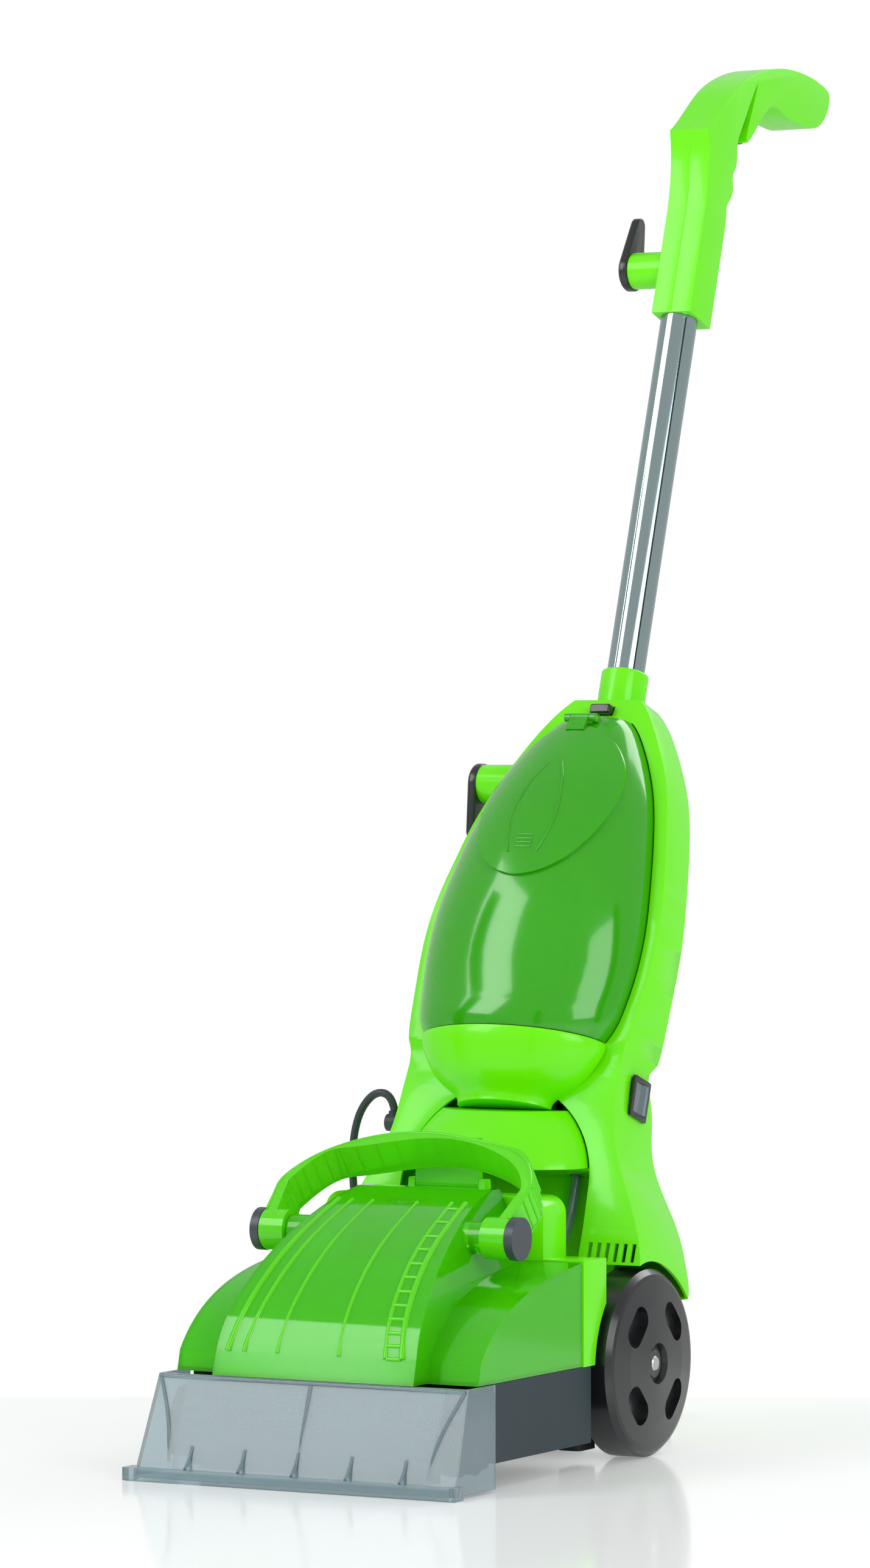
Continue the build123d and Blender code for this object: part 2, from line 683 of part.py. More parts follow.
# corrugated hose from the base cover's air passage to the wall of the column
HOSE_FROM = Vector(0, AXLE_Y + COVER_BACK + 0.3, 138)
HOSE_TO = across(84).origin + Vector(0, COS, -SIN) * -14.3
with BuildPart() as suction_hose:
    with BuildLine() as hose_line:
        Line(HOSE_FROM, HOSE_TO)
    with BuildSketch(Plane(HOSE_FROM, x_dir=(1, 0, 0), z_dir=HOSE_TO - HOSE_FROM)):
        Circle(13)
        Circle(11, mode=Mode.SUBTRACT)
    extrude(amount=(HOSE_TO - HOSE_FROM).length + 20)
    split(bisect_by=Plane.XZ.offset(-HOSE_FROM.Y), keep=Keep.BOTTOM)
    split(bisect_by=facing(-14.4), keep=Keep.TOP)
suction_hose.part.label = "suction_hose"
export_step(suction_hose.part, "parts/suction_hose.step")

# ================================================================ handle tube, collar and grip
with BuildPart() as handle_tube:
    with BuildSketch(across(440)):
        with Locations((0, TUBE_V)):
            Circle(TUBE_R)
            Circle(TUBE_R - 1.5, mode=Mode.SUBTRACT)
    extrude(amount=SLEEVE_W + 60 - 440)
handle_tube.part.label = "handle_tube"
export_step(handle_tube.part, "parts/handle_tube.step")

with BuildPart() as tube_collar:
    with BuildSketch(across(COLLAR_W - 8)):
        with Locations((0, TUBE_V)):
            Circle(19.6)
    extrude(amount=39)
    fillet(tube_collar.edges().group_by(Axis.Z)[-1], 2)
    with BuildSketch(across(COLLAR_W - 8)):
        with Locations((0, TUBE_V)):
            Circle(TUBE_R)
    extrude(amount=45, mode=Mode.SUBTRACT)
tube_collar.part.label = "tube_collar"
export_step(tube_collar.part, "parts/tube_collar.step")

with BuildPart() as control_cable:
    with BuildSketch(across(200)):
        with Locations((0, TUBE_V)):
            Circle(2.5)
    extrude(amount=SLEEVE_W + 120 - 200)
control_cable.part.label = "control_cable"
export_step(control_cable.part, "parts/control_cable.step")

# the grip is two mirrored halves, joined on the centre plane
GRIP_HALF = 18.0
with BuildSketch(along(0)) as grip_outline:
    with BuildLine():
        Polyline((31, SLEEVE_W), (31, 990))
        Spline((31, 990), (26, 1032), (14, 1062), tangents=((0, 1), (-0.6, 1)))
        Spline((14, 1062), (28, 1080), (51, 1113), (81, 1141), (119, 1165), (159, 1181), (198, 1190))
        Spline((198, 1190), (229, 1186), (226, 1168), (202, 1146), (174, 1138), (140, 1134),
               (114, 1122), (86, 1097), (71, 1078), tangents=((1, 0.1), (-0.3, -1)))
        Spline((71, 1078), (74, 1052), (71, 1043), (75, 1032), (69, 1016), (71, 990),
               tangents=((-0.1, -1), (0, -1)))
        Polyline((71, 990), (71, SLEEVE_W), (31, SLEEVE_W))
    make_face()

TRIGGER_V, TRIGGER_W = 80.0, 1104.0     # trigger pivot inside the neck of the grip
for name, hand in (("grip_left", -1), ("grip_right", 1)):
    with BuildPart() as grip:
        extrude(grip_outline.sketch, amount=hand * GRIP_HALF)
        # socket for the tube, bore for the cable and the trigger's chamber
        with BuildSketch(across(SLEEVE_W - 1)):
            with Locations((0, TUBE_V)):
                Circle(TUBE_R)
        extrude(amount=61, mode=Mode.SUBTRACT)
        with BuildSketch(across(SLEEVE_W)):
            with Locations((0, TUBE_V)):
                Circle(8)
        extrude(amount=150, mode=Mode.SUBTRACT)
        with BuildSketch(along(0)):
            with BuildLine():
                Polyline((60, 1064), (60, 1112), (96, 1122), (108, 1108), (92, 1064), close=True)
            make_face()
        extrude(amount=7, both=True, mode=Mode.SUBTRACT)
        with BuildSketch(along(0)):
            with Locations((TRIGGER_V, TRIGGER_W)):
                Circle(2)
        extrude(amount=10, both=True, mode=Mode.SUBTRACT)
        if hand < 0:
            # boss of the upper cord hook, with a blind bore for the hook's pin
            with BuildSketch(along(-14)):
                with Locations((TUBE_V, 949)):
                    Circle(15.5)
            extrude(amount=-35)
            with BuildSketch(across(SLEEVE_W - 1)):
                with Locations((0, TUBE_V)):
                    Circle(TUBE_R)
            extrude(amount=61, mode=Mode.SUBTRACT)
            with BuildSketch(along(-49)):
                with Locations((TUBE_V, 949)):
                    Circle(4 + RUN)
            extrude(amount=20, mode=Mode.SUBTRACT)
    grip.part.label = name
    export_step(grip.part, f"parts/{name}.step")

with BuildPart() as trigger_pin:
    with BuildSketch(along(0)):
        with Locations((TRIGGER_V, TRIGGER_W)):
            Circle(2)
    extrude(amount=10, both=True)
trigger_pin.part.label = "trigger_pin"
export_step(trigger_pin.part, "parts/trigger_pin.step")

with BuildPart() as trigger:
    with BuildSketch(along(0)):
        with BuildLine():
            Polyline((73, 1108), (86, 1108), (101, 1102), (103, 1088), (90, 1081), (77, 1086), close=True)
        make_face()
        with Locations((TRIGGER_V, TRIGGER_W)):
            Circle(5)
            Circle(2 + RUN, mode=Mode.SUBTRACT)
    extrude(amount=6, both=True)
trigger.part.label = "trigger"
export_step(trigger.part, "parts/trigger.step")

with BuildPart() as trigger_spring:
    with BuildSketch(facing(60.2)):
        with Locations((0, 1090)):
            Circle(3.5)
            Circle(2.6, mode=Mode.SUBTRACT)
    extrude(amount=-14)
trigger_spring.part.label = "trigger_spring"
export_step(trigger_spring.part, "parts/trigger_spring.step")


def teardrop(x, v, w, reach):
    """hook plate outline: a round end about the boss and a smaller tip, reach up or down the column"""
    with BuildSketch(along(x)) as outline:
        with Locations((v, w)):
            Circle(17)
        with Locations((v, w + reach)):
            Circle(7)
        make_hull()
    return outline.sketch


with BuildPart() as upper_cord_hook:
    extrude(teardrop(-49.3, TUBE_V, 949, 41), amount=-8)
    chamfer(upper_cord_hook.faces().sort_by(Axis.X)[0].edges(), 2)
    with BuildSketch(along(-49.3)):
        with Locations((TUBE_V, 949)):
            Circle(4)
    extrude(amount=16)
upper_cord_hook.part.label = "upper_cord_hook"
export_step(upper_cord_hook.part, "parts/upper_cord_hook.step")

with BuildPart() as lower_cord_hook:
    extrude(teardrop(-103, 26, 484, -41), amount=-8)
    chamfer(lower_cord_hook.faces().sort_by(Axis.X)[0].edges(), 2)
lower_cord_hook.part.label = "lower_cord_hook"
export_step(lower_cord_hook.part, "parts/lower_cord_hook.step")

# ================================================================ rocker switch
ROCKER_X = 96.2        # rocker pivot, from the centre plane
with BuildPart() as switch_bezel:
    with BuildSketch(along(84)):
        with Locations((SWITCH_V, SWITCH_W)):
            Rectangle(24.8, 28.8)
    extrude(amount=13)
    with BuildSketch(along(96.6)):
        with Locations((SWITCH_V, SWITCH_W)):
            RectangleRounded(29, 33, 2)
    extrude(amount=2.2)
    with BuildSketch(along(86)):
        with Locations((SWITCH_V, SWITCH_W)):
            Rectangle(20, 24.4)
    extrude(amount=14, mode=Mode.SUBTRACT)
    # blind bores for the rocker's pivots
    with BuildSketch(across(SWITCH_W - 13.7)):
        with Locations((ROCKER_X, SWITCH_V)):
            Circle(1.5 + RUN)
    extrude(amount=27.4, mode=Mode.SUBTRACT)
switch_bezel.part.label = "switch_bezel"
export_step(switch_bezel.part, "parts/switch_bezel.step")

with BuildPart() as rocker_switch:
    with BuildSketch(across(SWITCH_W - 12)):
        with BuildLine():
            ThreePointArc((ROCKER_X, SWITCH_V - 9), (ROCKER_X - 9, SWITCH_V), (ROCKER_X, SWITCH_V + 9))
            Polyline((ROCKER_X, SWITCH_V + 9), (ROCKER_X + 4.3, SWITCH_V + 8.4),
                     (ROCKER_X + 1.4, SWITCH_V), (ROCKER_X + 1.8, SWITCH_V - 8.6),
                     (ROCKER_X, SWITCH_V - 9))
        make_face()
    extrude(amount=24)
    with BuildSketch(across(SWITCH_W - 13.5)):
        with Locations((ROCKER_X, SWITCH_V)):
            Circle(1.5)
    extrude(amount=27)
rocker_switch.part.label = "rocker_switch"
export_step(rocker_switch.part, "parts/rocker_switch.step")

# ================================================================ clean water tank
SHELL = CLEAN_TANK
HINGE_V, HINGE_W = -16.0, 527.0         # the lid's hinge pin
with BuildPart() as clean_tank:
    loft([tank_slice(*row) for row in SHELL])
    loft([tank_slice(w + 2.5 * (w < 250) - 4 * (w > 530), half, bulge, depth, grow=-WALL)
          for w, half, bulge, depth in SHELL], mode=Mode.SUBTRACT)
    # opening under the lid
    with BuildSketch(facing(-110)):
        with Locations((0, 446)):
            Ellipse(50, 64)
    extrude(amount=-75, mode=Mode.SUBTRACT)
    # two ears that hold the lid's hinge pin
    for x in (-14, 8.4):
        with BuildSketch(along(x)):
            with Locations((HINGE_V, HINGE_W)):
                Circle(3.5)
            with BuildLine():
                Polyline((HINGE_V - 3.5, HINGE_W), (HINGE_V + 3.5, HINGE_W + 3.5), (HINGE_V + 11, HINGE_W),
                         (HINGE_V + 8, HINGE_W - 4), close=True)
            make_face()
        extrude(amount=5.6)
    with BuildSketch(along(-14)):
        with Locations((HINGE_V, HINGE_W)):
            Circle(1.5)
    extrude(amount=28, mode=Mode.SUBTRACT)
    # outlet for the valve
    with BuildSketch(across(SEAM_W)):
        with Locations((20, -30)):
            Circle(8)
    extrude(amount=6, mode=Mode.SUBTRACT)
clean_tank.part.label = "clean_tank"
export_step(clean_tank.part, "parts/clean_tank.step")

with BuildPart() as tank_lid:
    loft([tank_slice(*row, grow=2.8) for row in SHELL])
    loft([tank_slice(*row, grow=0.3) for row in SHELL], mode=Mode.SUBTRACT)
    with BuildSketch(facing(-120)):
        with Locations((0, 446)):
            Ellipse(58, 74)
    extrude(amount=-125, mode=Mode.INTERSECT)
    # hinge barrel at the top, on an arm from the shell
    with BuildSketch(along(-8)):
        with Locations((HINGE_V, HINGE_W)):
            Circle(3.5)
        with BuildLine():
            Polyline((HINGE_V - 3.4, HINGE_W), (HINGE_V + 1, HINGE_W - 2), (HINGE_V - 2.8, HINGE_W - 8),
                     (HINGE_V - 6, HINGE_W - 12.5), (HINGE_V - 9, HINGE_W - 13), close=True)
        make_face()
    extrude(amount=16)
    with BuildSketch(along(-9)):
        with Locations((HINGE_V, HINGE_W)):
            Circle(1.5 + RUN)
    extrude(amount=18, mode=Mode.SUBTRACT)
tank_lid.part.label = "tank_lid"
export_step(tank_lid.part, "parts/tank_lid.step")

with BuildPart() as lid_pin:
    with BuildSketch(along(-14)):
        with Locations((HINGE_V, HINGE_W)):
            Circle(1.5)
    extrude(amount=28)
lid_pin.part.label = "lid_pin"
export_step(lid_pin.part, "parts/lid_pin.step")

with BuildPart() as fill_funnel:
    with BuildSketch(facing(-48)):
        with Locations((-4, 448)):
            Circle(18)
            Circle(15.5, mode=Mode.SUBTRACT)
    extrude(amount=-50)
fill_funnel.part.label = "fill_funnel"
export_step(fill_funnel.part, "parts/fill_funnel.step")

with BuildPart() as pickup_tube:
    with BuildSketch(across(264)):
        with Locations((20, -30)):
            Circle(9)
            Circle(7, mode=Mode.SUBTRACT)
    extrude(amount=120)
pickup_tube.part.label = "pickup_tube"
export_step(pickup_tube.part, "parts/pickup_tube.step")

with BuildPart() as tank_valve:
    with BuildSketch(across(SEAM_W + 1.2)):
        with Locations((20, -30)):
            Circle(8)
    extrude(amount=14)
    with BuildSketch(across(SEAM_W + 9)):
        with Locations((20, -30)):
            for turn in (0, 60, 120):
                Rectangle(30, 3, rotation=turn)
    extrude(amount=3)
tank_valve.part.label = "tank_valve"
export_step(tank_valve.part, "parts/tank_valve.step")

with BuildPart() as latch_button:
    with BuildSketch(facing(12)):
        with Locations((0, 545)):
            Rectangle(18, 8)
    extrude(amount=-11.6)
    fillet(latch_button.faces().sort_by(Axis.Y)[0].edges(), 1.5)
latch_button.part.label = "latch_button"
export_step(latch_button.part, "parts/latch_button.step")

# ================================================================ recovery tank
HOOD_HALF = 86.0


def set_in(points, wall):
    """a curve's points moved to its right by the wall's thickness, square to the curve"""
    moved = []
    for i, (a, b) in enumerate(points):
        before, after = points[max(i - 1, 0)], points[min(i + 1, len(points) - 1)]
        da, db = after[0] - before[0], after[1] - before[1]
        size = (da**2 + db**2) ** 0.5
        moved.append((a + wall * db / size, b - wall * da / size))
    return moved


def hood_side(wall=0):
    """side outline of the recovery tank's central hood, or of the hollow inside its wall"""
    floor, back = DECK_Z + GAP + wall, TANK_BACK - wall
    curve = set_in([(-287, DECK_Z + GAP), (-281.5, 97), (-272, 118), (-253, 140), (-227, 162), (-193, 183),
                    (-147, 203), (-112, 212)], wall)
    with BuildSketch(base_side(0)) as outline:
        with BuildLine():
            Line((back, floor), (curve[0][0], floor))
            Line((curve[0][0], floor), curve[1])
            Spline(curve[1:])
            Polyline(curve[-1], (back, curve[-1][1]), (back, floor))
        make_face()
    return outline.sketch


def hood_end(wall=0):
    """front outline of the hood, narrowing upwards, drawn past its floor and its top"""
    right = set_in([(-HOOD_HALF, 60), (-84, 120), (-74, 170), (-55, 220)], wall)
    left = [(-a, b) for a, b in right]
    with BuildSketch(base_facing(0)) as outline:
        with BuildLine():
            Line(right[0], left[0])
            Spline(left)
            Line(left[-1], right[-1])
            Spline(right[::-1])
        make_face()
    return outline.sketch


def wing_side(wall=0):
    """side outline of the lower wings on both sides of the hood"""
    floor, back = DECK_Z + GAP + wall, TANK_BACK - wall
    curve = set_in([(-266, DECK_Z + GAP), (-262, 94), (-240, 116), (-192, 140), (-140, 152),
                    (TANK_BACK, 158)], wall)
    with BuildSketch(base_side(0)) as outline:
        with BuildLine():
            Line((back, floor), (curve[0][0], floor))
            Line((curve[0][0], floor), curve[1])
            Spline(curve[1:-1])
            Polyline(curve[-2], (back, curve[-1][1]), (back, floor))
        make_face()
    return outline.sketch


with BuildPart() as hood:
    extrude(hood_side(), amount=HOOD_HALF + 5, both=True)
    extrude(hood_end(), amount=300, mode=Mode.INTERSECT)
with BuildPart() as hood_hollow:
    extrude(hood_side(WALL), amount=HOOD_HALF + 5, both=True)
    extrude(hood_end(WALL), amount=300, mode=Mode.INTERSECT)

with BuildPart() as recovery_tank:
    add(hood.part)
    extrude(wing_side(), amount=BASE_HALF, both=True)
    for hand in (-1, 1):
        # stub that carries the handle's pivot, and the pivot pin
        with BuildSketch(base_side(hand * 60)):
            with Locations((PIVOT_Y, PIVOT_Z)):
                Circle(12)
        extrude(amount=hand * 25)
    add(hood_hollow.part, mode=Mode.SUBTRACT)
    extrude(wing_side(WALL), amount=BASE_HALF - WALL, both=True, mode=Mode.SUBTRACT)
    for hand in (-1, 1):
        with BuildSketch(base_side(hand * 80)):
            with Locations((PIVOT_Y, PIVOT_Z)):
                Circle(6)
        extrude(amount=hand * 30)
    # air outlet in the rear wall, dirty water inlet in the floor at the front
    with BuildSketch(base_facing(TANK_BACK - 5)):
        with Locations((0, 185)):
            RectangleRounded(50, 22, 6)
    extrude(amount=-8, mode=Mode.SUBTRACT)
    with BuildSketch(base_level(DECK_Z)):
        with Locations((0, -279)):
            Rectangle(150, 5)
    extrude(amount=5, mode=Mode.SUBTRACT)
recovery_tank.part.label = "recovery_tank"
export_step(recovery_tank.part, "parts/recovery_tank.step")

with BuildPart() as tank_partition:
    with BuildSketch(base_side(-70)):
        with BuildLine():
            Polyline((-268, DECK_Z + 4), (-266, DECK_Z + 4), (-210, 162), (-212, 162), close=True)
        make_face()
    extrude(amount=140)
tank_partition.part.label = "tank_partition"
export_step(tank_partition.part, "parts/tank_partition.step")

with BuildPart() as float_valve:
    with BuildSketch(base_level(110)):
        with Locations((0, -130)):
            Rectangle(70, 30)
    extrude(amount=30)
    fillet(float_valve.edges().filter_by(Axis.Z), 6)
float_valve.part.label = "float_valve"
export_step(float_valve.part, "parts/float_valve.step")

with BuildPart() as tank_screen:
    with BuildSketch(base_level(202)):
        with Locations((0, -128)):
            Circle(22)
            with GridLocations(7, 7, 5, 5):
                Circle(2.4, mode=Mode.SUBTRACT)
    extrude(amount=2)
tank_screen.part.label = "tank_screen"
export_step(tank_screen.part, "parts/tank_screen.step")

with BuildPart() as pivot_caps:
    for hand in (-1, 1):
        with BuildSketch(base_side(hand * 107.5)):
            with Locations((PIVOT_Y, PIVOT_Z)):
                Circle(16.5)
        extrude(amount=hand * 7)
        with BuildSketch(base_side(hand * 107.5)):
            with Locations((PIVOT_Y, PIVOT_Z)):
                Circle(6)
        extrude(amount=hand * 2.5, mode=Mode.SUBTRACT)
pivot_caps.part.label = "pivot_caps"
export_step(pivot_caps.part, "parts/pivot_caps.step")

# carrying handle: a broad band that arches from pin to pin, folded back
HANDLE_RISE = 38.0
HANDLE_REACH = 101.0
handle_dir = Vector(0, cos(radians(HANDLE_RISE)), sin(radians(HANDLE_RISE)))
handle_plane = Plane((0, AXLE_Y + PIVOT_Y, PIVOT_Z), x_dir=(1, 0, 0), z_dir=Vector(1, 0, 0).cross(handle_dir))
with BuildPart() as tank_handle:
    with BuildSketch(handle_plane):
        with BuildLine():
            Line((-104, 0), (-110, 40))
            Spline((-110, 40), (-66, 88), (0, HANDLE_REACH), (66, 88), (110, 40),
                   tangents=((0.35, 1), (0.35, -1)))
            Polyline((110, 40), (104, 0), (96, 0), (102, 40))
            Spline((102, 40), (62, 81), (0, HANDLE_REACH - 7), (-62, 81), (-102, 40),
                   tangents=((-0.35, 1), (-0.35, -1)))
            Polyline((-102, 40), (-96, 0), (-104, 0))
        make_face()
    extrude(amount=15, both=True)
    for hand in (-1, 1):
        with BuildSketch(base_side(hand * 86)):
            with Locations((PIVOT_Y, PIVOT_Z)):
                Circle(16)
        extrude(amount=hand * 21)
        with BuildSketch(base_side(hand * 80)):
            with Locations((PIVOT_Y, PIVOT_Z)):
                Circle(6 + RUN)
        extrude(amount=hand * 40, mode=Mode.SUBTRACT)
tank_handle.part.label = "tank_handle"
export_step(tank_handle.part, "parts/tank_handle.step")

# sprung tab behind the tank, hinged between two ears on the base cover
LATCH_Y, LATCH_Z = -72.0, 213.0
with BuildPart() as recovery_latch:
    with BuildSketch(base_side(-28)):
        with Locations((LATCH_Y, LATCH_Z)):
            Circle(4)
        with BuildLine():
            Polyline((LATCH_Y - 4, LATCH_Z), (LATCH_Y - 3.5, 231), (-77, 237), (-76, 249), (-70, 249),
                     (LATCH_Y + 2, 236), (LATCH_Y + 3, LATCH_Z), close=True)
        make_face()
    extrude(amount=56)
    with BuildSketch(base_side(-30)):
        with Locations((LATCH_Y, LATCH_Z)):
            Circle(2 + RUN)
    extrude(amount=60, mode=Mode.SUBTRACT)
recovery_latch.part.label = "recovery_latch"
export_step(recovery_latch.part, "parts/recovery_latch.step")

with BuildPart() as latch_pivot:
    with BuildSketch(base_side(-34)):
        with Locations((LATCH_Y, LATCH_Z)):
            Circle(2)
    extrude(amount=68)
    for x in (-34, 28.5):
        with BuildSketch(base_side(x)):
            with BuildLine():
                Polyline((LATCH_Y - 6, COLUMN_TOP), (LATCH_Y - 4, 217), (LATCH_Y + 4, 217),
                         (LATCH_Y + 6, COLUMN_TOP), close=True)
            make_face()
        extrude(amount=5.5)
latch_pivot.part.label = "latch_pivot"
export_step(latch_pivot.part, "parts/latch_pivot.step")

# ================================================================ latch spring, water line and mains cord
with BuildPart() as latch_spring:
    with BuildSketch(facing(23.9)):
        with Locations((0, 545)):
            Circle(3)
            Circle(2.2, mode=Mode.SUBTRACT)
    extrude(amount=-4)
latch_spring.part.label = "latch_spring"
export_step(latch_spring.part, "parts/latch_spring.step")


def bent_path(points):
    """straight runs joined by tangent arcs, each as large as its two runs allow, and the arcs' radii"""
    points = [Vector(*p) for p in points]
    radii = []
    for before, here, after in zip(points, points[1:], points[2:]):
        run, next_run = here - before, after - here
        turn = radians(run.get_angle(next_run))
        radii.append(0.45 * min(run.length, next_run.length) / tan(turn / 2))
    return points, radii


# from the floor under the clean tank, down beside the motor and forward into the base cover
in_column = along(0).from_local_coords
HOSE_POINTS = [in_column((-30, 244.5, 20)), in_column((-30, 224, 24)), in_column((-30, 203, 50)),
               in_column((-26, 176, 62)), in_column((-22, 142, 62.1)), in_column((-22, 108, 62)),
               Vector(62, AXLE_Y - 32, 124), Vector(62, AXLE_Y + COVER_BACK + 0.5, 118)]
hose_points, hose_radii = bent_path(HOSE_POINTS)
with BuildPart() as supply_hose:
    with BuildLine() as hose_run:
        FilletPolyline(*hose_points, radius=hose_radii)
    with BuildSketch(Plane(hose_run.line @ 0, z_dir=hose_run.line % 0)):
        Circle(4)
        Circle(2.5, mode=Mode.SUBTRACT)
    sweep()
supply_hose.part.label = "supply_hose"
export_step(supply_hose.part, "parts/supply_hose.step")

# strain relief on the left side of the lower housing, its outlet turned up
gland_at = in_column((GLAND_V, GLAND_W, 0))
GLAND_X = -107.5
CORD_START_Z = gland_at.Z + 9.5
CORD_RISE = Vector(-110, -100.6, 273.5)
with BuildPart() as cord_gland:
    with BuildSketch(Plane((-94, gland_at.Y, gland_at.Z), x_dir=(0, 1, 0), z_dir=(-1, 0, 0))):
        Circle(5.6)
    extrude(amount=6)
    with BuildSketch(Plane((-98.8, gland_at.Y, gland_at.Z), x_dir=(0, 1, 0), z_dir=(-1, 0, 0))):
        Circle(10)
    extrude(amount=2.6)
    with BuildSketch(Plane((-101, gland_at.Y, gland_at.Z), x_dir=(0, 1, 0), z_dir=(-1, 0, 0))):
        Circle(7)
    extrude(amount=12.5)
    with BuildSketch(Plane((GLAND_X, gland_at.Y, gland_at.Z), x_dir=(1, 0, 0), z_dir=(0, 0, 1))):
        Circle(4.8)
    extrude(amount=9.5)
    # slanted seat that the cord leaves from
    cord_start = Vector(GLAND_X, gland_at.Y, CORD_START_Z)
    with BuildSketch(Plane(cord_start, z_dir=CORD_RISE - cord_start)):
        Circle(CORD_R + 0.03)
    extrude(amount=4, mode=Mode.SUBTRACT)
cord_gland.part.label = "cord_gland"
export_step(cord_gland.part, "parts/cord_gland.step")

# the cord rises out of the gland, loops over and hangs beside the left wheel down to the floor
COIL_X, COIL_Y, COIL_R, COIL_WIDE, COIL_HIGH = -80.0, 80.0, 36.0, 33.0, 26.0
CORD_POINTS = [cord_start.to_tuple(), CORD_RISE.to_tuple(), (-125, -100, 276.5),
               (-139, -99, 263), (-147, -97, 243), (-150.5, -94, 219), (-152, -88, 190), (-153, -78, 155),
               (-154.5, -65, 114), (-156, -50, 74), (-156, -31, 41), (-155, -8, 17), (-151, 19, 5.5),
               (-143, 41, 4.7), (-134, 60, 4.7), (-129.5, 76, 4.75)]
cord_points, cord_radii = bent_path(CORD_POINTS)
print("cord radii", [round(r, 1) for r in cord_radii])
with BuildPart() as mains_cord:
    with BuildLine() as cord_run:
        FilletPolyline(*cord_points, radius=cord_radii)
    with BuildSketch(Plane(cord_run.line @ 0, z_dir=cord_run.line % 0)):
        Circle(CORD_R)
    sweep()
print("cord volume", mains_cord.part.volume, "section times length", pi * CORD_R**2 * cord_run.wire().length)
mains_cord.part.label = "mains_cord"
export_step(mains_cord.part, "parts/mains_cord.step")

with BuildPart() as cord_coil:
    with BuildSketch(Plane((COIL_X, COIL_Y, 0), x_dir=(1, 0, 0), z_dir=(0, -1, 0))):
        with Locations((COIL_R, 1.5 + COIL_HIGH / 2)):
            RectangleRounded(COIL_WIDE, COIL_HIGH, 9)
    revolve(axis=Axis((COIL_X, COIL_Y, 0), (0, 0, 1)))
cord_coil.part.label = "cord_coil"
export_step(cord_coil.part, "parts/cord_coil.step")

with BuildPart() as coil_tie:
    with BuildSketch(Plane((COIL_X, COIL_Y + 4, 0), x_dir=(1, 0, 0), z_dir=(0, -1, 0))):
        with Locations((-COIL_R, 1.5 + COIL_HIGH / 2)):
            Rectangle(COIL_WIDE + 2.6, COIL_HIGH + 2.6)
            Rectangle(COIL_WIDE + 0.6, COIL_HIGH + 0.4, mode=Mode.SUBTRACT)
    extrude(amount=8)
coil_tie.part.label = "coil_tie"
export_step(coil_tie.part, "parts/coil_tie.step")

# the plug lies beside the ring, its pins pointing to the right
PLUG_Y, PLUG_Z = 120.0, 18.5


def plug_slice(x):
    """plane across the plug and its two pins"""
    return Plane((x, PLUG_Y, PLUG_Z), x_dir=(0, 1, 0), z_dir=(1, 0, 0))


with BuildPart() as mains_plug:
    with BuildSketch(plug_slice(-48)):
        Circle(4.5)
    extrude(amount=22)
    with BuildSketch(plug_slice(-28)):
        Circle(9)
    with BuildSketch(plug_slice(-16)):
        Circle(17.5)
    loft()
    with BuildSketch(plug_slice(-16)):
        Circle(17.5)
    extrude(amount=22)
    with BuildSketch(plug_slice(6)):
        with Locations((-9.5, 0), (9.5, 0)):
            Circle(2.4)
    extrude(amount=19)
mains_plug.part.label = "mains_plug"
export_step(mains_plug.part, "parts/mains_plug.step")
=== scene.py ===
import bpy
import json
from math import cos, pi, radians, sin
from mathutils import Matrix, Vector

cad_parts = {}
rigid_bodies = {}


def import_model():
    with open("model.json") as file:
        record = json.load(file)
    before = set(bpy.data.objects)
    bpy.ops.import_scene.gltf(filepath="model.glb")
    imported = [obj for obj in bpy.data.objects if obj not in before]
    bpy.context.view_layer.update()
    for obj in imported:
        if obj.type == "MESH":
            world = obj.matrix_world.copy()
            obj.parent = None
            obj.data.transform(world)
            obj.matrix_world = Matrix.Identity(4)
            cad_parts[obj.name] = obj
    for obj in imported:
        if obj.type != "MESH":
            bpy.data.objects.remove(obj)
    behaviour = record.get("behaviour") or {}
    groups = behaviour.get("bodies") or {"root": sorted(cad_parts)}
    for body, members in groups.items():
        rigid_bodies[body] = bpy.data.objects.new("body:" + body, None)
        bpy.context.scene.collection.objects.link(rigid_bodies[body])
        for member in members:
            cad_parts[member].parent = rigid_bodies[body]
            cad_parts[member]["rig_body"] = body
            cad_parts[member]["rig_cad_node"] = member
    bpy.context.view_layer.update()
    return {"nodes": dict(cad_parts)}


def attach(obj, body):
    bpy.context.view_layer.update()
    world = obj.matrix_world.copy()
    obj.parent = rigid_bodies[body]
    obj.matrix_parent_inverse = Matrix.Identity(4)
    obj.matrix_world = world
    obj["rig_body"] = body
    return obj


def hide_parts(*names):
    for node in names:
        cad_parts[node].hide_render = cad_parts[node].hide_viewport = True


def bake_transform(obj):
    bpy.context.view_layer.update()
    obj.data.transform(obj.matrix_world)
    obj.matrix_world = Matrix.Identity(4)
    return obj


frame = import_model()
nodes = frame["nodes"]

# ---------------------------------------------------------------- studio
# A pale glossy floor that ends just behind the machine, a white backdrop, three soft box
# lights, and dark cards out of view that the chrome and the gloss mouldings reflect.
bpy.ops.object.select_all(action="DESELECT")
scene = bpy.context.scene
scene.view_settings.view_transform = "Standard"
CAMERA_PLACE = Vector((2.1562, -4.1678, 0.5238))
CAMERA_TURN = radians(28.7)
bpy.ops.object.camera_add(location=CAMERA_PLACE, rotation=(radians(90), 0, CAMERA_TURN))
camera = bpy.context.object
camera.data.lens = 132.93
camera.data.clip_end = 60
scene.camera = camera

studio_world = bpy.data.worlds.new("studio")
studio_world.use_nodes = True
world_nodes, world_links = studio_world.node_tree.nodes, studio_world.node_tree.links
backdrop = world_nodes["Background"]
backdrop.inputs["Color"].default_value = (1, 1, 1, 1)
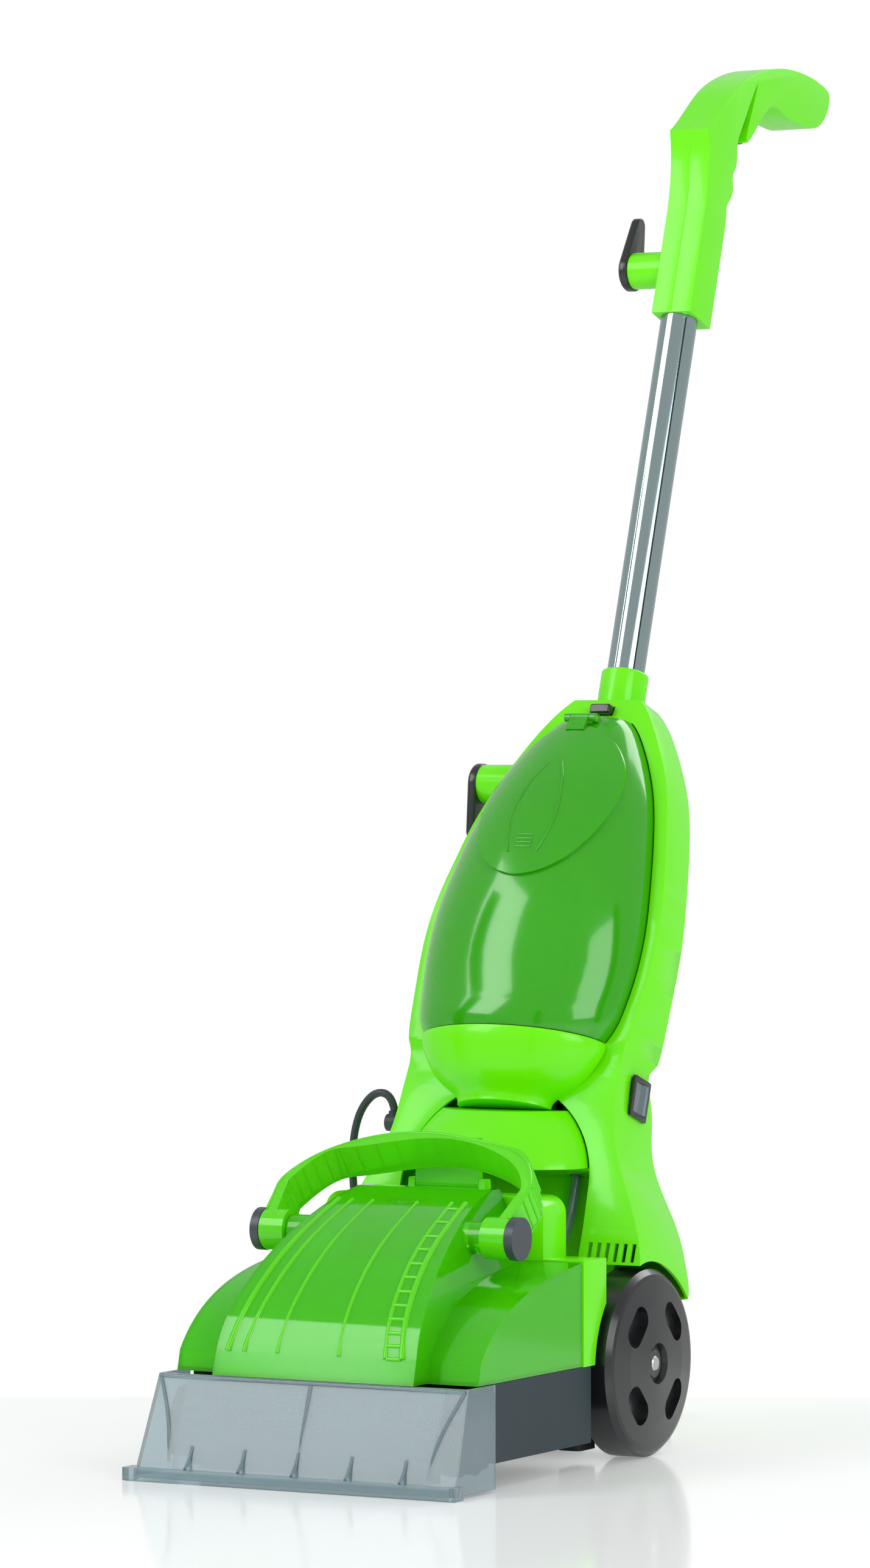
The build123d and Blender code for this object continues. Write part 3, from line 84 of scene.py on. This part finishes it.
# full white where the camera sees it, dimmer as a light
light_path = world_nodes.new("ShaderNodeLightPath")
backdrop_strength = world_nodes.new("ShaderNodeMapRange")
backdrop_strength.inputs["To Min"].default_value = 0.62
backdrop_strength.inputs["To Max"].default_value = 1.0
world_links.new(light_path.outputs["Is Camera Ray"], backdrop_strength.inputs["Value"])
world_links.new(backdrop_strength.outputs["Result"], backdrop.inputs["Strength"])
scene.world = studio_world

FLOOR_DROP = 0.0004
FLOOR_END = 4.95       # from the camera
bpy.ops.mesh.primitive_plane_add(size=1, rotation=(0, 0, CAMERA_TURN))
studio_floor = bpy.context.object
studio_floor.name = "studio_floor"
studio_floor.scale = (30, 2 * FLOOR_END, 1)
studio_floor.location = (CAMERA_PLACE.x, CAMERA_PLACE.y, -FLOOR_DROP)
floor_paint = bpy.data.materials.new("studio_floor")
floor_paint.use_nodes = True
floor_shader = floor_paint.node_tree.nodes["Principled BSDF"]
floor_shader.inputs["Base Color"].default_value = (0.86, 0.88, 0.88, 1)
floor_shader.inputs["Emission Color"].default_value = (1, 1, 1, 1)
floor_shader.inputs["Emission Strength"].default_value = 0.22
floor_shader.inputs["Roughness"].default_value = 0.12
studio_floor.data.materials.append(floor_paint)

for name, place, aim, size, watts in (
    ("key_softbox", (-2.4, -2.6, 2.6), (0, 0, 0.5), 2.2, 75),
    ("fill_softbox", (2.8, -1.6, 1.6), (0, 0, 0.5), 1.8, 35),
    ("back_softbox", (0.6, 2.6, 2.6), (0, 0, 0.6), 1.8, 40),
):
    bpy.ops.object.light_add(type="AREA", location=place)
    softbox = bpy.context.object
    softbox.name = name
    softbox.data.shape = "SQUARE"
    softbox.data.size = size
    softbox.data.energy = watts
    softbox.rotation_euler = (Vector(aim) - Vector(place)).to_track_quat("-Z", "Y").to_euler()

CARD_HEIGHT = 2.4
for name, place, width in (
    ("dark_card_left", (-1.9, -1.5, 1.2), 0.45),
    ("dark_card_front", (0.6, -3.4, 1.2), 0.35),
    ("dark_card_right", (2.6, -0.4, 1.2), 0.5),
):
    bpy.ops.mesh.primitive_plane_add(size=1, location=place)
    card = bpy.context.object
    card.name = name
    card.scale = (width, CARD_HEIGHT, 1)
    card.rotation_euler = (Vector((0, 0, 1.2)) - Vector(place)).to_track_quat("Z", "Y").to_euler()
    card.visible_camera = False
    card_felt = bpy.data.materials.new(name)
    card_felt.use_nodes = True
    card_felt.node_tree.nodes["Principled BSDF"].inputs["Base Color"].default_value = (0.02, 0.03, 0.03, 1)
    card_felt.node_tree.nodes["Principled BSDF"].inputs["Roughness"].default_value = 1.0
    card.data.materials.append(card_felt)


# ---------------------------------------------------------------- chassis and base cover
# The chassis is a dark slate tub, moulded in one piece, that carries everything in the base.
# The lime cover behind the recovery tank is a gloss moulding that clips onto it.
def surface_marks():
    """handled plastic and rubber: a fine moulded grain, soft cloudy variation and faint rubbed patches"""
    group = bpy.data.node_groups.new("surface_marks", "ShaderNodeTree")
    face = group.interface
    face.new_socket(name="Colour", in_out="INPUT", socket_type="NodeSocketColor")
    face.new_socket(name="Variation", in_out="INPUT", socket_type="NodeSocketFloat")
    face.new_socket(name="Cloud Scale", in_out="INPUT", socket_type="NodeSocketFloat")
    face.new_socket(name="Grain Scale", in_out="INPUT", socket_type="NodeSocketFloat")
    face.new_socket(name="Roughness", in_out="INPUT", socket_type="NodeSocketFloat")
    face.new_socket(name="Roughness Spread", in_out="INPUT", socket_type="NodeSocketFloat")
    face.new_socket(name="Colour", in_out="OUTPUT", socket_type="NodeSocketColor")
    face.new_socket(name="Roughness", in_out="OUTPUT", socket_type="NodeSocketFloat")
    face.new_socket(name="Grain", in_out="OUTPUT", socket_type="NodeSocketFloat")
    inside, links = group.nodes, group.links
    given, result = inside.new("NodeGroupInput"), inside.new("NodeGroupOutput")
    where = inside.new("ShaderNodeTexCoord")
    cloud, grain = inside.new("ShaderNodeTexNoise"), inside.new("ShaderNodeTexNoise")
    cloud.inputs["Detail"].default_value = 4
    grain.inputs["Detail"].default_value = 2
    for texture, scale in ((cloud, "Cloud Scale"), (grain, "Grain Scale")):
        links.new(where.outputs["Object"], texture.inputs["Vector"])
        links.new(given.outputs[scale], texture.inputs["Scale"])
    shade = inside.new("ShaderNodeMapRange")
    shade.inputs["From Min"].default_value, shade.inputs["From Max"].default_value = 0.3, 0.7
    shade.inputs["To Max"].default_value = 1.0
    dimmest = inside.new("ShaderNodeMath")
    dimmest.operation = "SUBTRACT"
    dimmest.inputs[0].default_value = 1.0
    links.new(given.outputs["Variation"], dimmest.inputs[1])
    links.new(cloud.outputs["Fac"], shade.inputs["Value"])
    links.new(dimmest.outputs[0], shade.inputs["To Min"])
    tint = inside.new("ShaderNodeVectorMath")
    tint.operation = "SCALE"
    links.new(given.outputs["Colour"], tint.inputs[0])
    links.new(shade.outputs["Result"], tint.inputs["Scale"])
    links.new(tint.outputs["Vector"], result.inputs["Colour"])
    spread = inside.new("ShaderNodeMath")
    spread.operation = "MULTIPLY_ADD"
    links.new(cloud.outputs["Fac"], spread.inputs[0])
    links.new(given.outputs["Roughness Spread"], spread.inputs[1])
    links.new(given.outputs["Roughness"], spread.inputs[2])
    links.new(spread.outputs[0], result.inputs["Roughness"])
    links.new(grain.outputs["Fac"], result.inputs["Grain"])
    return group


marks_group = surface_marks()


def moulded(name, colour, rough, spread=0.1, variation=0.06, cloud=9, grain=900, grain_depth=0.02, **sockets):
    """a moulded finish with its own colour, gloss and grain; other shader sockets are set by name"""
    material = bpy.data.materials.new(name)
    material.use_nodes = True
    tree = material.node_tree
    shader = tree.nodes["Principled BSDF"]
    marks = tree.nodes.new("ShaderNodeGroup")
    marks.node_tree = marks_group
    marks.inputs["Colour"].default_value = (*colour, 1)
    marks.inputs["Variation"].default_value = variation
    marks.inputs["Cloud Scale"].default_value = cloud
    marks.inputs["Grain Scale"].default_value = grain
    marks.inputs["Roughness"].default_value = rough
    marks.inputs["Roughness Spread"].default_value = spread
    bump = tree.nodes.new("ShaderNodeBump")
    bump.inputs["Strength"].default_value = grain_depth
    bump.inputs["Distance"].default_value = 0.0005
    tree.links.new(marks.outputs["Colour"], shader.inputs["Base Color"])
    tree.links.new(marks.outputs["Roughness"], shader.inputs["Roughness"])
    tree.links.new(marks.outputs["Grain"], bump.inputs["Height"])
    tree.links.new(bump.outputs["Normal"], shader.inputs["Normal"])
    for socket, value in sockets.items():
        shader.inputs[socket.replace("_", " ")].default_value = value
    return material


def coat(piece, material):
    """the whole piece gets one finish"""
    piece.data.materials.clear()
    piece.data.materials.append(material)


def select_only(piece):
    bpy.ops.object.select_all(action="DESELECT")
    piece.select_set(True)
    bpy.context.view_layer.objects.active = piece


def rounded(node, body, width, segments, material):
    """the shape of a moulded part with the mould's rounding along its edges, in its finish"""
    piece = nodes[node].copy()
    piece.data = nodes[node].data.copy()
    piece.parent = None
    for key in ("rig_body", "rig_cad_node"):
        if key in piece:
            del piece[key]
    piece.name = node + "_moulding"
    piece.matrix_world = Matrix.Identity(4)
    scene.collection.objects.link(piece)
    select_only(piece)
    bpy.ops.object.mode_set(mode="EDIT")
    bpy.ops.mesh.select_all(action="SELECT")
    bpy.ops.mesh.remove_doubles(threshold=0.00002)
    bpy.ops.mesh.dissolve_limited(angle_limit=radians(1))
    bpy.ops.object.mode_set(mode="OBJECT")
    edge = piece.modifiers.new("mould_rounding", "BEVEL")
    edge.width = width
    edge.segments = segments
    edge.limit_method = "ANGLE"
    edge.angle_limit = radians(35)
    edge.use_clamp_overlap = True
    bpy.ops.object.modifier_apply(modifier=edge.name)
    bpy.ops.object.shade_smooth_by_angle(angle=radians(40))
    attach(piece, body)
    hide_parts(node)
    coat(piece, material)


lime_gloss = moulded("lime_gloss", (0.17, 0.90, 0.001), 0.2, spread=0.1, variation=0.05, cloud=7, grain=1100,
                     grain_depth=0.012, Coat_Weight=0.15, Coat_Roughness=0.05, Specular_IOR_Level=0.3)
slate = moulded("slate", (0.014, 0.032, 0.041), 0.42, grain=1000, grain_depth=0.05, Specular_IOR_Level=0.35)
coat(nodes["base_chassis"], slate)
rounded("base_cover", "base", 0.0015, 3, lime_gloss)


# ---------------------------------------------------------------- suction nozzle
# A clear, grey-tinted moulding open below, clipped over the front of the chassis, with an
# arch at each side, a rib down the middle and small gussets on its lip. An inner wall
# behind its front makes the suction slot.
def smooth_line(name, points):
    """one smooth spline from point to point, with no thickness yet"""
    line = bpy.data.curves.new(name, "CURVE")
    line.dimensions = "3D"
    spline = line.splines.new("NURBS")
    spline.points.add(len(points) - 1)
    for place, point in zip(points, spline.points):
        point.co = (*place, 1)
    spline.order_u = 3
    spline.use_endpoint_u = True
    line.resolution_u = 6
    return line


def rib(name, host, body, points, radius, material):
    """a moulded rib that follows the host's surface through points in millimetres"""
    places = [nodes[host].closest_point_on_mesh(Vector(point) / 1000)[1] for point in points]
    line = smooth_line(name, places)
    line.bevel_depth = radius
    line.bevel_resolution = 2
    line.use_fill_caps = True
    holder = bpy.data.objects.new(name + "_line", line)
    piece = bpy.data.objects.new(name, bpy.data.meshes.new_from_object(holder))
    bpy.data.objects.remove(holder)
    scene.collection.objects.link(piece)
    piece.data.polygons.foreach_set("use_smooth", [True] * len(piece.data.polygons))
    coat(piece, material)
    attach(piece, body)


nozzle_clear = moulded("nozzle_clear", (0.48, 0.62, 0.66), 0.06, spread=0.06, variation=0.04, grain=900,
                       grain_depth=0.01, Transmission_Weight=0.75, IOR=1.45)
for name in ("nozzle_shell", "suction_channel"):
    coat(nodes[name], nozzle_clear)


def nozzle_rib(name, points, radius):
    rib(name, "nozzle_shell", "base", points, radius, nozzle_clear)


arch_line = ((131, -421, 76), (126, -425, 66), (119, -431, 50), (114, -437, 34), (111, -444, 14))
for side, hand in (("left", -1), ("right", 1)):
    nozzle_rib("nozzle_arch_" + side, [(hand * x, y, z) for x, y, z in arch_line], 0.0015)
nozzle_rib("nozzle_middle_rib", [(0, -421, 76), (0, -431, 50), (0, -444, 14)], 0.0016)
nozzle_rib("nozzle_flange", [(x, -421, 76) for x in (-131, -60, 0, 60, 131)], 0.0016)
for step in range(5):
    x = -92 + 46 * step
    nozzle_rib("nozzle_gusset_%d" % step, [(x, -440, 26), (x, -446, 16), (x, -452, 10)], 0.0013)

# ---------------------------------------------------------------- brush and its drive
# A roller with nylon tufts set in its core turns in the nozzle. A flat rubber belt
# drives it from the motor's steel pulley, inside the chassis.
bristle = moulded("bristle", (0.14, 0.15, 0.155), 0.6, cloud=60, variation=0.4)
steel = moulded("steel", (0.55, 0.55, 0.57), 0.3, Metallic=1.0)
rubber = moulded("rubber", (0.012, 0.012, 0.012), 0.7, grain=700, grain_depth=0.1)
black_gloss = moulded("black_gloss", (0.010, 0.011, 0.013), 0.22, spread=0.12, grain=1300, grain_depth=0.02,
                      Coat_Weight=0.2, Coat_Roughness=0.1)
for name in ("brush_core", "brush_bristles"):
    coat(nodes[name], bristle)
coat(nodes["brush_pulley"], black_gloss)
coat(nodes["brush_motor"], slate)
coat(nodes["motor_pulley"], steel)
coat(nodes["drive_belt"], rubber)

# ---------------------------------------------------------------- pump, spray bar and water lines
# A small pump in a plastic case, screwed to the chassis floor, feeds a moulded spray bar
# through clear hoses pushed onto their spigots.
for name in ("solution_pump", "spray_bar"):
    coat(nodes[name], slate)
for name in ("pump_hose", "supply_hose"):
    coat(nodes[name], nozzle_clear)

# ---------------------------------------------------------------- wheels, axle and skids
# Gloss black moulded wheels on a steel axle, held by plastic clips. Rubber pads under the
# base slide on the carpet, and steel screws hold the chassis and its cover together.
for name in ("wheel_left", "wheel_right", "axle_clips"):
    coat(nodes[name], black_gloss)
for name in ("wheel_axle", "base_screws"):
    coat(nodes[name], steel)
coat(nodes["skid_pads"], rubber)

# ---------------------------------------------------------------- column housings
# Two injection moulded shells in gloss lime green, clipped together at the waist. Their
# edges are rounded by the mould, and the bowl and the motor's cover snap on in front.
for name, width in (("lower_housing", 0.0025), ("upper_housing", 0.0025), ("tank_bowl", 0.0008),
                    ("motor_cover", 0.0008), ("tube_collar", 0.0015)):
    rounded(name, "column", width, 3, lime_gloss)

# ---------------------------------------------------------------- suction motor and air hose
# The motor stands on a shelf in the lower housing, with a pressed steel impeller in its
# fan chamber. A flexible plastic hose joins the base's air passage to the column.
for name in ("suction_motor", "suction_hose"):
    coat(nodes[name], slate)
coat(nodes["impeller"], steel)


# ---------------------------------------------------------------- handle tube and grip
# A chrome plated steel tube pushed into the upper housing, with a two-piece lime grip
# screwed together round its top end, a black trigger with its spring, pin and cable, and
# two black cord hooks.
def black_moulding(node, body):
    rounded(node, body, 0.0012, 3, black_gloss)


tube_chrome = moulded("tube_chrome", (0.36, 0.46, 0.47), 0.05, spread=0.08, variation=0.03, grain=2200,
                      grain_depth=0.004, Metallic=1.0)
coat(nodes["handle_tube"], tube_chrome)
for name in ("grip_left", "grip_right"):
    rounded(name, "column", 0.006, 4, lime_gloss)
black_moulding("upper_cord_hook", "upper_hook")
black_moulding("lower_cord_hook", "column")
black_moulding("trigger", "trigger")
for name in ("trigger_pin", "trigger_spring"):
    coat(nodes[name], steel)
cord_sheath = moulded("cord_sheath", (0.030, 0.042, 0.050), 0.42, grain=1400, grain_depth=0.05)
coat(nodes["control_cable"], cord_sheath)

# ---------------------------------------------------------------- rocker switch
# A clear grey rocker that pivots in a black moulded bezel. The bezel is pressed into a
# window in the right side of the column.
black_moulding("switch_bezel", "column")
coat(nodes["rocker_switch"], nozzle_clear)

# ---------------------------------------------------------------- clean water tank
# A moulded tank in translucent green, with a hinged lid over its filling ring, a pickup
# tube and a valve. A sprung black button in the upper housing holds it.
tank_green = moulded("tank_green", (0.07, 0.72, 0.002), 0.10, spread=0.08, variation=0.06, cloud=8,
                     grain=1000, grain_depth=0.012, Transmission_Weight=0.55, IOR=1.45, Coat_Weight=0.3,
                     Coat_Roughness=0.05)
for name in ("clean_tank", "tank_lid", "fill_funnel", "pickup_tube", "tank_valve"):
    coat(nodes[name], tank_green)
for name in ("lid_pin", "latch_spring"):
    coat(nodes[name], steel)
black_moulding("latch_button", "latch_button")

COLUMN_LEAN = radians(18.5)
AXLE_Y, AXLE_Z = -134, 73


def column_point(x, rearward, up):
    """a point of the leaning column, measured from the axle, in millimetres of the row frame"""
    return (x, AXLE_Y + rearward * cos(COLUMN_LEAN) + up * sin(COLUMN_LEAN),
            AXLE_Z - rearward * sin(COLUMN_LEAN) + up * cos(COLUMN_LEAN))


def lid_rib(name, points, radius):
    rib(name, "tank_lid", "tank_lid", points, radius, tank_green)


# two rails from the top to the bottom of the lid, and the finger catch between their ends
rail_line = ((9, 503), (17, 485), (22, 462), (24, 438), (21, 414), (13, 394))
for side, hand in (("left", -1), ("right", 1)):
    lid_rib("lid_rail_" + side, [column_point(hand * x, -90, up) for x, up in rail_line], 0.0012)
for step in range(4):
    lid_rib("lid_catch_%d" % step, [column_point(x, -95, 400 + 4 * step) for x in (-8, 0, 8)], 0.0009)

# ---------------------------------------------------------------- recovery tank
# A clear green moulding with a high ribbed hood and low wings, which stands on the base.
# It holds a sloping partition, a float and an air screen, and a sprung tab latches it.
clear_green = moulded("clear_green", (0.13, 0.95, 0.004), 0.05, spread=0.05, variation=0.04, grain=900,
                      grain_depth=0.008, Transmission_Weight=0.62, IOR=1.45, Specular_IOR_Level=0.4)
# a brighter, less clear green: the handle's and the latch's own colour, and a painted highlight where the
# hood's ribs wear it
bright_green_and_rib_highlight = moulded("bright_green_and_rib_highlight", (0.17, 0.98, 0.01), 0.06, spread=0.05, variation=0.04, grain=900,
                       grain_depth=0.008, Transmission_Weight=0.35, IOR=1.45, Specular_IOR_Level=0.4)
for name in ("recovery_tank", "tank_partition", "tank_screen", "float_valve"):
    coat(nodes[name], clear_green)
coat(nodes["recovery_latch"], bright_green_and_rib_highlight)
coat(nodes["latch_pivot"], lime_gloss)


# the hood's ribs belong to the clear tank moulding, but they are drawn in the brighter, less clear green: a
# painted highlight along each rib
def hood_rib(name, points, radius):
    rib(name, "recovery_tank", "recovery_tank", points, radius, bright_green_and_rib_highlight)


def between(points, at):
    """the point at that share of the way along a list of points, counted in points"""
    first = int(at)
    share = at - first
    return [a + (b - a) * share for a, b in zip(points[first], points[first + 1])]


# the hood's side outline, measured from the axle: depth and height
hood_line = ((-281.5, 97), (-272, 118), (-253, 140), (-227, 162), (-193, 183), (-147, 203))
last_stop = len(hood_line) - 1
# long ribs from the hood's front edge up and back: name, x in front and behind, radius
for name, front_x, back_x, radius in (
    ("hood_rib_outer_left", -76, -56, 0.0027),
    ("hood_rib_left", -62, -44, 0.0021),
    ("hood_rib_light", -33, -26, 0.0018),
    ("hood_rib_middle", 20, 13, 0.0018),
    ("hood_rib_inner_right", 60, 43, 0.0021),
    ("hood_rib_outer_right", 74, 55, 0.0027),
):
    hood_rib(name, [(front_x + (back_x - front_x) * stop / last_stop, AXLE_Y + y, z)
                    for stop, (y, z) in enumerate(hood_line)], radius)
# the ladder of short rungs between the two right-hand ribs
HOOD_RUNGS = 12
for rung in range(HOOD_RUNGS):
    at = rung / (HOOD_RUNGS - 1) * 4.8
    y, z = between(hood_line, at)
    hood_rib("hood_rung_%02d" % rung, [(x - 3.6 * at, AXLE_Y + y, z) for x in (61, 67, 73)], 0.0015)

# ---------------------------------------------------------------- carry handle
# A clear green band that arches from pin to pin over the recovery tank, stiffened by two
# edge rails and many cross ribs, with slate caps on its pivots.
coat(nodes["tank_handle"], bright_green_and_rib_highlight)
cap_slate = moulded("cap_slate", (0.05, 0.06, 0.075), 0.3, grain=1200)
coat(nodes["pivot_caps"], cap_slate)
# the band's outline from its left pin, mirrored to the right: sideways, and out from the pins
band_line = [(-104, 6), (-109, 24), (-110, 40), (-104, 57), (-90, 74), (-66, 88), (-35, 97.5), (0, 101)]
band_line += [(-x, reach) for x, reach in band_line[-2::-1]]
BAND_RISE = radians(38)
BAND_PIN = Vector((0, -302, 180))
BAND_PROUD = 1.02      # the ribs' points start just outside the band
band_out = Vector((0, cos(BAND_RISE), sin(BAND_RISE)))
band_across = Vector((0, -sin(BAND_RISE), cos(BAND_RISE)))


def handle_rib(name, points, radius):
    """a rib through points given as sideways, outwards and across the band"""
    rib(name, "tank_handle", "tank_handle",
        [BAND_PIN + Vector((x * BAND_PROUD, 0, 0)) + band_out * reach * BAND_PROUD + band_across * across
         for x, reach, across in points], radius, bright_green_and_rib_highlight)


for rail, across in enumerate((-14.5, 14.5)):
    handle_rib("handle_rail_%d" % rail, [(x, reach, across) for x, reach in band_line], 0.0013)
HANDLE_RUNGS = 25
for rung in range(HANDLE_RUNGS):
    x, reach = between(band_line, 1.2 + rung / (HANDLE_RUNGS - 1) * 11.6)
    handle_rib("handle_rung_%02d" % rung, [(x, reach, across) for across in (-13, 0, 13)], 0.0010)

# ---------------------------------------------------------------- mains cord
# A dark rubber-sheathed lead 6.5 mm thick. It leaves a gland on the left side of the
# column, hangs beside the wheel, and its spare length lies on the floor in a round coil
# held by a strap, with the plug beside it.
CORD_RADIUS = 0.00325
COIL_CENTRE = Vector((-0.080, 0.080, 0))
LOWEST_TURN = 0.00475
cord_route = [Vector(p) for p in (
    (-0.1075, -0.10062, 0.26109), (-0.110, -0.1006, 0.2735), (-0.125, -0.100, 0.2765),
    (-0.139, -0.099, 0.263), (-0.147, -0.097, 0.243), (-0.1505, -0.094, 0.219), (-0.152, -0.088, 0.190),
    (-0.153, -0.078, 0.155), (-0.1545, -0.065, 0.114), (-0.156, -0.050, 0.074), (-0.156, -0.031, 0.041),
    (-0.155, -0.008, 0.017), (-0.151, 0.019, 0.0055), (-0.143, 0.041, 0.0047), (-0.134, 0.060, 0.0047))]
# four layers of five turns: inwards, outwards, inwards and outwards again
turn_radii = [0.04925 - 0.0066 * i for i in range(5)]
layers = [turn_radii, turn_radii[::-1]] * 2
STEPS = 14
STEPS_LEFT_OFF = 11    # of the last turn, where the plug's end leaves the coil
angle = pi
for level, layer in enumerate(layers):
    for turn, radius in enumerate(layer):
        following = layer[turn + 1] if turn + 1 < len(layer) else radius
        for step in range(STEPS):
            share = max(0.0, step / STEPS - 0.6) / 0.4
            rise = share if turn + 1 == len(layer) and level < 3 else 0
            reach = radius + (following - radius) * share
            cord_route.append(COIL_CENTRE + Vector((reach * cos(angle), reach * sin(angle),
                                                    LOWEST_TURN + 2 * CORD_RADIUS * (level + rise))))
            angle -= 2 * pi / STEPS
cord_route = cord_route[:-STEPS_LEFT_OFF]
cord_route += [Vector(p) for p in ((-0.072, 0.1325, 0.0243), (-0.057, 0.1315, 0.023), (-0.045, 0.127, 0.0205),
                                   (-0.036, 0.1215, 0.0187), (-0.028, 0.120, 0.0185))]

cord_curve = smooth_line("mains_cord_line", cord_route)
path_object = bpy.data.objects.new("mains_cord_path", cord_curve)
path_mesh = bpy.data.meshes.new_from_object(path_object)
cord_curve.bevel_depth = CORD_RADIUS
cord_curve.bevel_resolution = 3
cord_curve.use_fill_caps = True
mains_cord = bpy.data.objects.new("mains_cord_run", bpy.data.meshes.new_from_object(path_object))
scene.collection.objects.link(mains_cord)
bpy.data.objects.remove(path_object)
mains_cord.data.polygons.foreach_set("use_smooth", [True] * len(mains_cord.data.polygons))
coat(mains_cord, cord_sheath)
for name in ("mains_plug", "cord_gland"):
    coat(nodes[name], cord_sheath)
coat(nodes["coil_tie"], moulded("tie_strap", (0.012, 0.013, 0.014), 0.55))
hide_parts("mains_cord", "cord_coil")
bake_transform(mains_cord)
